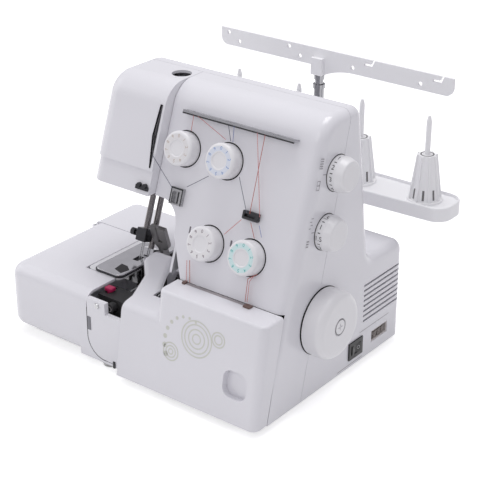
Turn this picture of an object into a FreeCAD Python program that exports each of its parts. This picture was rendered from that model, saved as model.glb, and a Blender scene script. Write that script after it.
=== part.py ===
"""A serger (overlock) sewing machine, drawn as a parametric document in millimetres.

X runs to the operator's right, Y to the back and Z up. The origin lies on the floor under the
middle of the box that holds the machine and its thread stand.
"""
import FreeCAD
import Part
import Sketcher
import math
import os
import re

Vector = FreeCAD.Vector
doc = FreeCAD.newDocument("serger")

# Driving dimensions, in millimetres and degrees

SIZES = {
    # the whole machine
    "overall_width": 360,       # bed's left end to the spool tray's right end
    "overall_depth": 270,       # front cover's toe to the spool tray's back
    "tray_overhang": 45,        # spool tray past the body's right side
    "body_depth": 236,          # front cover's toe to the motor box's back
    "body_height": 268,
    "foot_height": 6,
    "wall": 2.6,                # moulded shells
    "seam_gap": 0.4,            # between fixed shells
    "cover_gap": 0.9,           # around covers that open
    "run_fit": 0.05,            # radial room of a shaft in its bore
    "slip": 0.3,                # room beside pieces that move past each other
    "overshoot": 5,             # how far a cutting solid passes the skin
    # tower and head
    "tower_width": 136,
    "head_length": 242,
    "head_underside": 168,
    "dial_panel_length": 166,
    "panel_foot": 42,           # front of the dial panel at the cover's top edge
    "panel_lean": 19.8,
    "face_rise": 12,            # face cover ahead of the dial panel
    "lip_height": 24,           # stepped band along the face cover's lower edge
    "lip_step": 1.6,
    "head_rear": 154,
    "tower_rear": 176,
    "motor_box_height": 110,
    "edge_round": 10,
    "head_end_round": 18,
    "brow_round": 28,
    "crown_round": 12,
    "throat_round": 22,
    "nick_width": 20,           # slanted corner at the foot of the dial panel
    "nick_height": 49,
    "box_round": 12,
    "split_foot": 97.5,         # seam between the housings, on the right side
    "split_level": 119,
    "split_lean": 14.8,
    "head_window_width": 40,    # opening in the head's underside for the bars
    "head_window_depth": 44,
    # vents, switch and inlet on the right side
    "vent_count": 8,
    "vent_pitch": 5.35,
    "vent_height": 2.2,
    "vent_level": 46.5,
    "vent_start": 168,
    "vent_depth": 9,
    "switch_y": 156,
    "switch_z": 23,
    "switch_width": 20,
    "switch_height": 15,
    "switch_body": 14,
    "switch_rim": 1.4,
    "rocker_width": 14,
    "rocker_height": 9,
    "rocker_pin": 1.2,
    "inlet_y": 198,
    "inlet_z": 23,
    "inlet_width": 28,
    "inlet_height": 12,
    "inlet_body": 20,
    "inlet_hollow": 11,
    "inlet_pin_pitch": 7.5,
    "inlet_pin": 1.3,
    # base
    "pan_thickness": 3,
    "pan_front": 19,
    "pan_left": 20,
    "foot_radius": 9,
    "foot_taper": 1.2,
    "foot_inset": 22,
    "left_foot_x": 190,         # front left foot, from the right side
    # bed
    "bed_height": 74,
    "bed_depth": 200,
    "bed_round": 10,
    "seam_y": 137,              # side cover's back edge
    "door_front": 10,
    "door_inset": 208.5,        # side cover's right edge, from the right side
    "door_floor": 6.5,
    "door_corner": 16,
    "door_brow": 12,
    "door_keel": 13,
    "tongue": 34,               # side cover's tongue under the front wall
    "tongue_curve": 22,
    "tongue_lip": 2.4,
    "door_pin": 1.6,
    "knuckle": 3.6,
    "knuckle_length": 10,
    "front_wall_top": 70.5,
    "front_wall_notch": 59,
    "front_wall_step": 23,
    # needle plate and the pieces round it
    "plate_length": 85,
    "plate_width": 41,
    "plate_thickness": 2.6,
    "plate_right": 205,         # needle plate's right edge, from the right side
    "plate_round": 6,
    "knife_way": 11,            # gap beside the needle plate for the upper knife
    # front cover
    "cover_height": 105,
    "cover_length": 163,
    "cover_lean": 8.7,
    "cover_floor": 7,
    "cover_sill": 18,
    "cover_round": 3,
    "cover_side_round": 8,
    "tall_length": 122,         # part of the cover that stands in front of the tower
    "shelf_front": 76,          # shelf's height at the cover's toe
    "shelf_slope": 10,
    "shelf_skirt": 4,           # shelf's lower edge under the bed's top
    "shelf_rear": 97,
    "shelf_left": 196,
    "shelf_waist": 79,
    "shelf_neck_x": 178,
    "shelf_neck_y": 60,
    "shelf_corner": 7,
    "shelf_round": 6,
    "shelf_turn": 50,           # where the right edge starts to draw away from the tower
    "shelf_tip": 170,
    "shelf_brow": 9,            # soft turn from the shelf down to the front
    "shelf_gap": 10,            # shelf to the tower's left wall
    "hinge_y": 9,
    "hinge_z": 10.5,
    "hinge_radius": 1.6,
    "hinge_lug": 3.6,
    "hinge_lug_length": 8,
    "hinge_lug_inset": 24,
    "grip_width": 26,
    "grip_height": 26,
    "grip_depth": 7,
    "grip_inset": 27,
    "grip_level": 24,
    # machine frame
    "frame_front": 98,
    "frame_back": 140,
    "rail_height": 6,
    "lug_width": 28,
    "lug_thickness": 8,
    "lug_right": 36,
    "lug_inset": 20,            # left lug, from the column's left wall
    "post_width": 20,
    "post_front": 120,
    "arm_bottom": 172,
    "arm_height": 16,
    "arm_front": 117,
    "bay_wall": 6,
    "bay_top": 60,
    # main shaft, handwheel and drive
    "wheel_y": 97.5,
    "wheel_z": 78.5,
    "wheel_radius": 32,
    "wheel_thickness": 20,
    "wheel_gap": 1.2,
    "wheel_round": 7,
    "wheel_dish": 1.6,
    "wheel_screw": 7,
    "shaft_radius": 5,
    "bush_radius": 8,
    "pulley_radius": 26,
    "pulley_width": 12,
    "pulley_inset": 16,
    "pulley_flange": 1.5,
    "motor_y": 186,
    "motor_z": 48,
    "motor_radius": 27,
    "motor_length": 76,
    "motor_inset": 34,
    "motor_shaft": 3,
    "motor_pulley_radius": 7,
    "belt_thickness": 1.8,
    "mount_width": 34,
    "mount_length": 50,
    # needle bar, presser bar and foot
    "needle_x": 215,
    "needle_y": 94,
    "bar_lean": 20,
    "bar_radius": 3,
    "needle_bar_low": 24,
    "needle_bar_high": 132,
    "guide_low": 102,
    "guide_high": 124,
    "guide_margin": 9,
    "clamp_low": 20,
    "clamp_height": 13,
    "clamp_width": 12,
    "clamp_shift": 1.5,         # needle clamp to the left of its bar
    "clamp_depth": 10,
    "clamp_screw": 1.8,
    "clamp_screw_reach": 9,
    "needle_radius": 0.5,
    "needle_tip": -5,           # under the needle plate's top, with the bar part-way down
    "needle_pitch": 2.2,
    "presser_x": 4,
    "presser_y": 8.5,
    "presser_bar_high": 128,
    "foot_width": 34,
    "foot_shift": 5,            # foot's middle to the left of the needles
    "foot_length": 73,
    "foot_front": 52,
    "foot_thickness": 3,
    "foot_lift_gap": 0.4,
    "foot_nose": 7,
    "shank_height": 14,
    "shank_width": 12,
    "shank_depth": 9,
    "lever_y": 174,
    "lever_z": 188,
    "lever_hub": 6,
    "lever_width": 12,
    "lever_length": 32,
    "lever_slope": 125,
    "lever_thickness": 5,
    "lever_pin": 2.5,
    "pressure_x": 179,
    "pressure_y": 121,
    "pressure_radius": 7,
    "pressure_hole": 9.5,
    "pressure_sink": 5,
    "pressure_stem": 3,
    # take-up lever
    "slot_width": 5,
    "slot_drop": 23,            # from the dial panel's top edge
    "slot_length": 59,
    "take_up_pivot": 10,        # behind the dial panel
    "take_up_drop": 55,         # from the dial panel's top edge
    "take_up_reach": 20,
    "take_up_thickness": 1.6,
    "take_up_hub": 6,
    # knives, loopers and feed
    "knife_pivot_y": 126,
    "knife_pivot_z": 40,
    "knife_hub": 6,
    "knife_lean": 17,
    "knife_arm": 8,
    "knife_pin": 3,
    "knife_thickness": 5,
    "knife_top": 114,
    "knife_plate_width": 19,
    "knife_plate_height": 27,
    "knife_plate_reach": 4,     # plate to the left of its arm
    "knife_plate_round": 8,
    "knife_slot": 2.6,
    "lower_knife_height": 15,
    "lower_knife_length": 20,
    "lower_knife_y": 84,
    "looper_y": 78,
    "looper_gap": 9,
    "looper_hub": 6,
    "looper_pin": 3,
    "looper_rod": 1.7,
    "lower_looper_x": 186,
    "lower_looper_z": 26,
    "lower_looper_radius": 34,
    "lower_looper_start": 80,
    "lower_looper_sweep": 62,
    "upper_looper_x": 160,
    "upper_looper_z": 30,
    "upper_looper_radius": 30,
    "upper_looper_start": 96,
    "upper_looper_sweep": 66,
    "feed_bar_width": 18,
    "feed_bar_height": 6,
    "feed_bar_drop": 8,
    "feed_length": 30,
    "feed_width": 2.6,
    "feed_pitch": 7,
    "feed_tooth": 2.5,
    "feed_front": 80,
    "feed_sink": 0.2,
    "feed_travel": 2,
    # front bracket with the cutting width dial and the stitch finger slide
    "bracket_left": 206.5,
    "bracket_width": 34,
    "bracket_front": 25,
    "bracket_depth": 22,
    "bracket_top": 69,
    "bracket_sheet": 3,
    "width_dial_x": 186,
    "width_dial_z": 62,
    "width_dial_radius": 5,
    "width_dial_length": 7,
    "width_dial_stem": 2,
    "finger_x": 201,
    "finger_width": 9,
    "finger_depth": 7,
    "finger_height": 4,
    # dials
    "dial_radius": 16,
    "dial_height": 14,
    "dial_round": 3,
    "dial_dish": 0.8,
    "dial_ring_gap": 2.4,
    "dial_drop": 57,            # upper dials, from the dial panel's top edge
    "dial_lower": 40,           # along the panel from its foot
    "dial_1_x": 142,
    "dial_2_x": 93.5,
    "dial_3_x": 95,
    "dial_4_x": 48.5,
    "spindle_radius": 3,
    "spindle_reach": 9,
    "spindle_disc": 2,
    "side_dial_radius": 16.2,
    "side_dial_height": 15,
    "side_dial_face": 13.8,
    "side_dial_round": 2,
    "side_dial_stem": 4,
    "length_dial_y": 116,
    "length_dial_z": 216,
    "feed_dial_y": 100,
    "feed_dial_z": 165.5,
    # thread guides
    "guide_plate_left": 148,
    "guide_plate_length": 124,
    "guide_plate_drop": 23,     # from the dial panel's top edge
    "guide_plate_reach": 8,
    "guide_plate_lip": 2,
    "sheet_steel": 1.2,
    "needle_guide_x": 139.5,
    "needle_guide_drop": 108.742,   # from the dial panel's top edge
    "needle_guide_width": 14,
    "needle_guide_height": 16,
    "looper_guide_x": 55,
    "looper_guide_level": 72,
    "looper_guide_width": 17,
    "looper_guide_height": 8,
    "looper_guide_depth": 5,
    # thread stand
    "tray_length": 287,
    "tray_depth": 47,
    "tray_bottom": 138,
    "tray_height": 14,
    "tray_corner": 16,
    "tray_lip": 2,
    "tray_bend": 5,             # how far the front edge falls back towards its ends
    "tray_recess": 3,
    "tray_round": 1.4,
    "spool_pitch": 74.3,
    "spool_setback": 22.5,      # from the tray's back edge
    "spool_radius": 2.6,
    "spool_shank": 3.4,         # thicker foot of the pin, inside its cone
    "spool_height": 84,
    "cone_base": 17,
    "cone_top": 10,
    "cone_height": 46,
    "cone_flange": 2,
    "cone_rib": 1.6,
    "cone_rib_count": 8,
    "pole_setback": 27.5,
    "pole_shift": 10,           # pole to the left of the tray's middle
    "pole_radius": 5,
    "pole_wall": 0.8,
    "pole_outer_top": 240,
    "pole_middle_top": 249,
    "pole_inner_top": 264,
    "pole_middle_low": 80,
    "pole_inner_low": 120,
    "pole_ring": 1,             # bead round the top of a tube
    "pole_ring_height": 4,
    "pole_collar": 14,          # height of the bracket's lower hold on the pole
    "thread_bar_length": 267,
    "thread_bar_shift": 14,     # bar's middle to the right of the pole
    "thread_bar_height": 17.5,
    "thread_bar_thickness": 2.6,
    "thread_bar_top": 275.5,
    "thread_bar_hub": 12.4,
    "thread_bar_neck": 8,
    "thread_bar_web": 34,
    "thread_bar_corner": 8,
    "thread_hole": 2.2,
    "hook_slot": 2.4,
    "stand_foot": 46,           # bottom of the stand's bracket on the motor box
    "stand_width": 44,
    "stand_thickness": 7,
}

sheet = doc.addObject("Spreadsheet::Sheet", "Sizes")
for row, (alias, size) in enumerate(SIZES.items(), 1):
    sheet.set(f"A{row}", alias.replace("_", " "))
    sheet.set(f"B{row}", str(size))
    sheet.setAlias(f"B{row}", alias)
doc.recompute()

ALIAS = re.compile(r"\b(" + "|".join(sorted(SIZES, key=len, reverse=True)) + r")\b")


def bind(formula):
    """A formula in plain aliases, as an expression on the sheet."""
    return ALIAS.sub(r"Sizes.\1", formula)


def value(formula):
    return float(sheet.evalExpression(bind(formula)))


# Places that many pieces share

right = "(overall_width / 2 - tray_overhang)"
left = "(-overall_width / 2)"
front = "(-overall_depth / 2)"
tower_left = f"({right} - tower_width)"
head_left = f"({right} - head_length)"
pan_top = "(foot_height + pan_thickness)"
box_back = f"({front} + body_depth)"
door_right = f"({right} - door_inset)"
plate_right_x = f"({right} - plate_right)"
plate_left_x = f"({right} - plate_right - plate_width)"
plate_back_y = f"({front} + seam_y)"
plate_front_y = f"({front} + seam_y - plate_length)"
cover_left = f"({right} - cover_length)"
tray_middle = f"({right} + tray_overhang - tray_length / 2)"
pole_x = f"({tray_middle} - pole_shift)"
tray_back = "(overall_depth / 2)"
tray_top = "(tray_bottom + tray_height)"
shaft_y = f"({front} + wheel_y)"
motor_axis_y = f"({front} + motor_y)"
panel_top = "((body_height - cover_height) / cos(panel_lean))"
take_up_level = f"({panel_top} - take_up_drop)"
guide_plate_level = f"({panel_top} - guide_plate_drop)"
needle_guide_level = f"({panel_top} - needle_guide_drop)"
lug_left = "(tower_width - lug_inset)"

# Slanted frames: an origin and the angle by which their upright leans back

PANEL = ("0", f"({front} + panel_foot)", "cover_height", "panel_lean")
NEEDLE = (f"({right} - needle_x)", f"({front} + needle_y)", "bed_height", "bar_lean")
UPRIGHT = ("0", "0", "0", "0")


# Construction helpers

def place(piece, at, axis=(0, 0, 1), angle="0"):
    """Moves a piece to a place given in formulas, turned about an axis."""
    turn = FreeCAD.Rotation(Vector(*axis), value(angle))
    piece.Placement = FreeCAD.Placement(Vector(*[value(text) for text in at]), turn)
    for name, text in zip("xyz", at):
        piece.setExpression(f"Placement.Base.{name}", bind(text))
    if angle != "0":
        piece.setExpression("Placement.Rotation.Angle", bind(angle))
    return piece


def in_frame(frame, x, y, z):
    """A point of a slanted frame, in the machine's own axes."""
    ox, oy, oz, lean = frame
    return (f"({ox}) + ({x})",
            f"({oy}) + ({y}) * cos({lean}) + ({z}) * sin({lean})",
            f"({oz}) - ({y}) * sin({lean}) + ({z}) * cos({lean})")


def box(x, y, z, frame=UPRIGHT):
    """A block between pairs of formulas on the three axes of a frame."""
    block = doc.addObject("Part::Box", "Block")
    for name, (low, high) in zip(("Length", "Width", "Height"), (x, y, z)):
        block.setExpression(name, bind(f"({high}) - ({low})"))
    return place(block, in_frame(frame, x[0], y[0], z[0]), (-1, 0, 0), frame[3])


def rod(radius, x, y, z, frame=UPRIGHT):
    """A cylinder on an axis of a frame: the pair among x, y, z is the span, the others the centre."""
    bar = doc.addObject("Part::Cylinder", "Rod")
    spans = [axis for axis, span in zip("xyz", (x, y, z)) if isinstance(span, tuple)]
    start = [span[0] if isinstance(span, tuple) else span for span in (x, y, z)]
    low, high = next(span for span in (x, y, z) if isinstance(span, tuple))
    bar.setExpression("Radius", bind(radius))
    bar.setExpression("Height", bind(f"({high}) - ({low})"))
    at = in_frame(frame, *start)
    if spans[0] == "x":
        return place(bar, at, (0, 1, 0), "90")
    if spans[0] == "y":
        return place(bar, at, (-1, 0, 0), f"{frame[3]} + 90")
    return place(bar, at, (-1, 0, 0), frame[3])


def fuse(*pieces):
    whole = doc.addObject("Part::MultiFuse", "Fusion")
    whole.Shapes = list(pieces)
    whole.Refine = True
    return whole


def cut(base, *tools):
    rest = doc.addObject("Part::Cut", "Cut")
    rest.Base = base
    rest.Tool = tools[0] if len(tools) == 1 else fuse(*tools)
    rest.Refine = True
    return rest


def common(*pieces):
    shared = doc.addObject("Part::MultiCommon", "Common")
    shared.Shapes = list(pieces)
    shared.Refine = True
    return shared


def group(pieces):
    """Separate solids kept together as one sub-part."""
    together = doc.addObject("Part::Compound", "Group")
    together.Links = list(pieces)
    return together


def new_body():
    return doc.addObject("PartDesign::Body", "Body")


def new_sketch(body, plane, level):
    sketch = body.newObject("Sketcher::SketchObject", "Sketch")
    base = next(item for item in body.Origin.OriginFeatures if item.Role == plane)
    sketch.AttachmentSupport = [(base, "")]
    sketch.MapMode = "FlatFace"
    sketch.setExpression("AttachmentOffset.Base.z", bind(level))
    return sketch


def pin_point(sketch, item, corner, at):
    """Holds a sketch point at a place given by two formulas."""
    for kind, text in zip(("DistanceX", "DistanceY"), at):
        number = sketch.addConstraint(Sketcher.Constraint(kind, -1, 1, item, corner, value(text)))
        sketch.setExpression(f"Constraints[{number}]", bind(text))


def outline(body, plane, level, points):
    """A closed sketch of straight lines through points given in formulas."""
    sketch = new_sketch(body, plane, level)
    ends = [Vector(value(a), value(b), 0) for a, b in points]
    count = len(ends)
    for number in range(count):
        sketch.addGeometry(Part.LineSegment(ends[number], ends[(number + 1) % count]), False)
    for number in range(count):
        sketch.addConstraint(Sketcher.Constraint("Coincident", number, 2, (number + 1) % count, 1))
    for number, at in enumerate(points):
        pin_point(sketch, number, 1, at)
    return sketch


def feature(body, kind, sketch, length, back=False):
    made = body.newObject(f"PartDesign::{kind}", kind)
    made.Profile = sketch
    made.setExpression("Length", bind(length))
    made.Reversed = back
    doc.recompute()
    return made


def pad(body, sketch, length, back=False):
    return feature(body, "Pad", sketch, length, back)


def pocket(body, sketch, length, back=False):
    before = body.Shape.Volume
    made = feature(body, "Pocket", sketch, length, back)
    if made.Shape.Volume >= before:
        raise ValueError("a pocket cut nothing")
    return made


def rounded(body, radius, chosen):
    """Fillets the edges of a body that pass a test."""
    tip = body.Tip
    names = [f"Edge{number}" for number, edge in enumerate(tip.Shape.Edges, 1) if chosen(edge)]
    if not names:
        raise ValueError("no edge to round")
    fillet = body.newObject("PartDesign::Fillet", "Fillet")
    fillet.Base = (tip, names)
    fillet.setExpression("Radius", bind(radius))
    doc.recompute()
    return fillet


def turned(profile):
    """A body turned about its own Z axis from points of radius and height."""
    body = new_body()
    sketch = outline(body, "XZ_Plane", "0", profile)
    spin = body.newObject("PartDesign::Revolution", "Revolution")
    spin.Profile = sketch
    spin.ReferenceAxis = (sketch, ["V_Axis"])
    spin.Angle = 360
    doc.recompute()
    return body


def middle(edge):
    return edge.valueAt((edge.FirstParameter + edge.LastParameter) / 2)


PARALLEL = 0.999


def straight(edge, axis):
    """Whether an edge is a line along an axis."""
    return isinstance(edge.Curve, Part.Line) and abs(getattr(edge.Curve.Direction, axis)) > PARALLEL


def close(number, formula, tolerance=0.05):
    return abs(number - value(formula)) < tolerance


nodes = {}


def keep(label, piece):
    """Names a finished sub-part after the file it goes to."""
    piece.Label = label
    nodes[label] = piece
    return piece


# Housing shells

def panel_y(z, rise="0"):
    return f"({front} + panel_foot - ({rise}) + (({z}) - cover_height) * tan(panel_lean))"


def housing_form(inset, rise, floor):
    """Tower, head and motor box as one solid, drawn inside the outer skin by the inset."""
    body = new_body()
    top = f"(body_height - {inset})"
    skin = f"({inset} / cos(panel_lean))"
    brow_y = f"({panel_y(top, rise)} + {skin})"
    crown_y = f"({front} + head_rear - {inset})"
    step_y = f"({front} + tower_rear - {inset})"
    step_z = f"(motor_box_height - {inset})"
    back_y = f"({box_back} - {inset})"
    start_x = f"({head_left} + {inset})"
    end_x = f"({right} - {inset})"
    wall_x = f"({tower_left} + {inset})"
    under_z = f"(head_underside + {inset})"
    profile = [(f"{panel_y(floor, rise)} + {skin}", floor), (brow_y, top), (crown_y, top),
               (step_y, step_z), (back_y, step_z), (back_y, floor)]
    pad(body, outline(body, "YZ_Plane", start_x, profile), f"{end_x} - {start_x}")
    below = f"{floor} - overshoot"
    beside = f"{start_x} - overshoot"
    throat = [(beside, below), (wall_x, below), (wall_x, under_z), (beside, under_z)]
    behind = f"-({box_back} + overshoot)"
    pocket(body, outline(body, "XZ_Plane", behind, throat), "body_depth + panel_foot", True)

    def long_edge(y, z):
        return lambda edge: straight(edge, "x") and close(middle(edge).y, y) and close(middle(edge).z, z)

    rounded(body, f"brow_round - {inset}", long_edge(brow_y, top))
    rounded(body, f"crown_round - {inset}", long_edge(crown_y, top))
    rounded(body, f"box_round - {inset}", long_edge(back_y, step_z))
    rounded(body, f"box_round + {inset}", long_edge(step_y, step_z))
    rounded(body, f"throat_round + {inset}",
            lambda edge: close(middle(edge).x, wall_x) and close(middle(edge).z, under_z))
    low = value(f"{floor} + wall / 2")
    rounded(body, f"edge_round - {inset}",
            lambda edge: close(middle(edge).x, end_x) and middle(edge).z > low)
    high = value(f"{under_z} + wall / 2")
    rounded(body, f"head_end_round - {inset}",
            lambda edge: close(middle(edge).x, start_x) and middle(edge).z > high)
    return body


def split_y(z, gap):
    return f"({front} + split_foot + (({z}) - split_level) * tan(split_lean) + ({gap}))"


def side_region(gap, far, start, end):
    """Everything on one side of the slanted seam between the housings."""
    body = new_body()
    low = "(-overshoot)"
    high = "(body_height + overshoot)"
    points = [(far, low), (split_y(low, gap), low), (split_y(high, gap), high), (far, high)]
    pad(body, outline(body, "YZ_Plane", start, points), f"({end}) - ({start})")
    return body


def head_window(y):
    """Opening in the head's underside that the bars pass through."""
    middle_x = f"({right} - needle_x + presser_x / 2)"
    return box((f"{middle_x} - head_window_width / 2", f"{middle_x} + head_window_width / 2"),
               y, ("head_underside - overshoot", "head_underside + wall + seam_gap"))


inner_floor = "(foot_height - overshoot)"
form = housing_form("0", "0", "foot_height")
hollow = housing_form("wall", "0", inner_floor)
face_form = housing_form("0", "face_rise", "foot_height")
face_hollow = housing_form("wall", "face_rise", inner_floor)
lip_form = housing_form("lip_step", "face_rise", inner_floor)
shell = cut(form, hollow)
ahead = f"({front} - overshoot)"
behind = f"({box_back} + overshoot)"
face_right = f"({right} - dial_panel_length - seam_gap)"
window_back = f"({front} + head_rear)"


def dial_hole(x, along):
    return rod("dial_radius + dial_ring_gap", f"{right} - {x}", ("-dial_height", "wall + spindle_disc / 2"),
               along, PANEL)


dial_upper = f"({panel_top} - dial_drop)"
DIALS = [("dial_1_x", dial_upper), ("dial_2_x", dial_upper),
         ("dial_3_x", "dial_lower"), ("dial_4_x", "dial_lower")]


def front_housing():
    region = side_region("-seam_gap / 2", ahead, f"{right} - dial_panel_length", f"{right} + overshoot")
    bay = box((f"{tower_left} - overshoot", f"{right} - wall"), (ahead, f"{front} + split_foot"),
              ("-overshoot", "cover_height"))
    sill = new_body()
    sill_line = [(ahead, "-overshoot"), (f"{front} + cover_sill", "-overshoot"),
                 (f"{front} + cover_sill", "foot_height"), (f"{front} + panel_foot", "cover_height"),
                 (ahead, "cover_height")]
    pad(sill, outline(sill, "YZ_Plane", f"{right} - edge_round - overshoot", sill_line),
        "edge_round + 2 * overshoot")
    holes = [dial_hole(x, along) for x, along in DIALS]
    stems = [rod("side_dial_stem + run_fit", (f"{right} - wall - overshoot", f"{right} + overshoot"),
                 f"{front} + {y}", z)
             for y, z in (("length_dial_y", "length_dial_z"), ("feed_dial_y", "feed_dial_z"))]
    nick = new_body()
    nick_line = [(f"{tower_left} - overshoot", "-overshoot"), (f"{tower_left} + nick_width", "-overshoot"),
                 (f"{tower_left} - overshoot", "nick_height")]
    pad(nick, outline(nick, "XZ_Plane", "-2 * wall", nick_line), "4 * wall")
    place(nick, PANEL[:3], (-1, 0, 0), PANEL[3])
    return cut(common(shell, region), bay, sill, nick, *holes, *stems)


def face_cover():
    region = side_region("-seam_gap / 2", ahead, f"{head_left} - overshoot", face_right)
    inside = box((f"{head_left} - overshoot", f"{face_right} - wall"), (ahead, behind),
                 ("head_underside", "body_height + overshoot"))
    skin = cut(common(face_form, region), common(face_hollow, inside))
    slot_left = f"{face_right} - wall - slot_width"
    slot_z = (f"{panel_top} - slot_drop - slot_length", f"{panel_top} - slot_drop")
    slot_right = f"{face_right} - wall"
    slot = new_body()
    blade = [(f"{slot_right} - slot_width / 4", slot_z[0]), (slot_right, slot_z[0]), (slot_right, slot_z[1]),
             (f"{slot_right} - slot_width / 2", slot_z[1]), (slot_left, f"{slot_z[1]} - slot_length / 2")]
    pad(slot, outline(slot, "XZ_Plane", "0", blade), "face_rise + overshoot")
    place(slot, PANEL[:3], (-1, 0, 0), PANEL[3])
    pin_way = box((slot_left, f"{face_right} + overshoot"), ("2 * wall", "take_up_pivot + 2 * take_up_hub"),
                  slot_z, PANEL)
    band = box((f"{head_left} - overshoot", f"{face_right} + overshoot"), (ahead, behind),
               ("head_underside - overshoot", "head_underside + lip_height"))
    step = common(band, cut(face_form, lip_form))
    hole = rod("pressure_hole", f"{right} - pressure_x", f"{front} + pressure_y",
               ("body_height - wall - overshoot", "body_height + overshoot"))
    window = head_window((split_y("head_underside", "-head_window_depth / 4"), window_back))
    return cut(skin, slot, pin_way, step, hole, window)


def vent_cutters():
    """A row of slots through the motor box's right side, round its back corner."""
    body = new_body()
    low = "vent_level - vent_height / 2"
    high = "vent_level + vent_height / 2"
    slot = [(f"{front} + vent_start", low), (behind, low), (behind, high), (f"{front} + vent_start", high)]
    pad(body, outline(body, "YZ_Plane", f"{right} - vent_depth", slot), "vent_depth + overshoot")
    row = body.newObject("PartDesign::LinearPattern", "Vents")
    row.Originals = [body.Tip]
    upright = next(item for item in body.Origin.OriginFeatures if item.Role == "Z_Axis")
    row.Direction = (upright, [""])
    row.setExpression("Length", bind("(vent_count - 1) * vent_pitch"))
    row.setExpression("Occurrences", bind("vent_count"))
    body.Tip = row
    doc.recompute()
    return body


def side_hole(y, z, width, height, depth):
    return box((f"{right} - {depth}", f"{right} + overshoot"),
               (f"{front} + {y} - {width} / 2", f"{front} + {y} + {width} / 2"),
               (f"{z} - {height} / 2", f"{z} + {height} / 2"))


def lever_bracket():
    """Lug and pin on the head's back that carry the presser lever."""
    lug_x = f"({right} - needle_x + presser_x + lever_width / 2 + slip)"
    lug = box((lug_x, f"{lug_x} + lever_hub"),
              (f"{front} + head_rear - overshoot", f"{front} + lever_y + lever_hub"),
              ("lever_z - lever_hub", "lever_z + lever_hub"))
    pin = rod("lever_pin", (f"{lug_x} - lever_width - slip", lug_x), f"{front} + lever_y", "lever_z")
    return cut(fuse(lug, pin), form)


def rear_housing():
    region = side_region("seam_gap / 2", behind, f"{head_left} - overshoot", f"{right} + overshoot")
    switch = side_hole("switch_y", "switch_z", "switch_width", "switch_height", "2 * wall")
    inlet = side_hole("inlet_y", "inlet_z", "inlet_width", "inlet_height", "2 * wall")
    shaft = rod("shaft_radius + wheel_gap", (f"{right} - 2 * wall", f"{right} + overshoot"), shaft_y, "wheel_z")
    window = head_window((split_y("head_underside", "-head_window_depth / 4"), window_back))
    pan_way = box((f"{tower_left} - overshoot", f"{tower_left} + wall + seam_gap"),
                  (ahead, f"{box_back} - wall"), ("-overshoot", f"{pan_top} + seam_gap"))
    frame_way = box((f"{tower_left} - overshoot", f"{tower_left} + wall + seam_gap"),
                    (ahead, f"{front} + frame_back + seam_gap"), ("-overshoot", "bed_height"))
    skin = cut(common(shell, region), vent_cutters(), switch, inlet, shaft, window, pan_way, frame_way)
    return fuse(skin, lever_bracket())


keep("front_housing", front_housing())
keep("face_cover", face_cover())
keep("rear_housing", rear_housing())


# Base and bed

def base_pan():
    """Floor of the machine, with the fixed wall between the side cover and the front cover."""
    body = new_body()
    x0 = f"{left} + pan_left"
    x1 = f"({right} - wall - seam_gap)"
    y0 = f"({front} + pan_front)"
    y1 = f"({front} + bed_depth - wall - seam_gap)"
    y2 = f"({box_back} - wall - seam_gap)"
    corner_x = f"({tower_left} + wall + seam_gap)"
    floor = [(x0, y0), (x1, y0), (x1, y2), (corner_x, y2), (corner_x, y1), (x0, y1)]
    pad(body, outline(body, "XY_Plane", "foot_height", floor), "pan_thickness")
    rounded(body, "foot_radius", lambda edge: straight(edge, "z") and not close(middle(edge).x, corner_x))
    wall_left = f"({door_right} + cover_gap)"
    wall_right = f"({cover_left} - cover_gap)"
    notch_x = f"({wall_left} + front_wall_step)"
    wall_foot_x = f"({wall_left} + tongue)"
    wall_low = "(door_floor + tongue_lip + cover_gap)"
    wall_back = f"({front} + door_front + 2 * wall)"
    face = [(wall_left, wall_low), (wall_foot_x, wall_low), (wall_foot_x, "foot_height"),
            (wall_right, "foot_height"), (wall_right, "front_wall_notch"), (notch_x, "front_wall_notch"),
            (notch_x, "front_wall_top"), (wall_left, "front_wall_top")]
    front_wall = new_body()
    pad(front_wall, outline(front_wall, "XZ_Plane", f"-{wall_back}", face), "2 * wall")
    rounded(front_wall, "tongue_curve - cover_gap", lambda edge: straight(edge, "y")
            and close(middle(edge).x, wall_left) and close(middle(edge).z, wall_low))
    wall_foot = box((wall_foot_x, wall_right), (f"{front} + door_front", f"{y0} + overshoot"),
                    ("foot_height", pan_top))
    lugs = []
    for x in (f"{cover_left} + hinge_lug_inset", f"{right} - hinge_lug_inset"):
        span = (f"{x} - hinge_lug_length / 2", f"{x} + hinge_lug_length / 2")
        eye = rod("hinge_lug", span, f"{front} + hinge_y", "hinge_z")
        neck = box(span, (f"{front} + hinge_y", f"{front} + pan_front + overshoot"),
                   ("hinge_z - hinge_lug", "hinge_z"))
        lugs += [eye, neck]
    bore = rod("hinge_radius + run_fit", (cover_left, right), f"{front} + hinge_y", "hinge_z")
    return cut(fuse(body, front_wall, wall_foot, *lugs), bore)


def rubber_feet():
    rear_y = f"{front} + bed_depth - foot_inset"
    spots = [(f"{right} - left_foot_x", f"{front} + foot_inset"),
             (f"{left} + pan_left + foot_inset", rear_y),
             (f"{right} - foot_inset", f"{front} + foot_inset"),
             (f"{right} - foot_inset", f"{box_back} - foot_inset")]
    feet = []
    for x, y in spots:
        foot = turned([("0", "0"), ("foot_radius - foot_taper", "0"), ("foot_radius", "foot_height"),
                       ("0", "foot_height")])
        feet.append(place(foot, (x, y, "0")))
    return group(feet)


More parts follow.
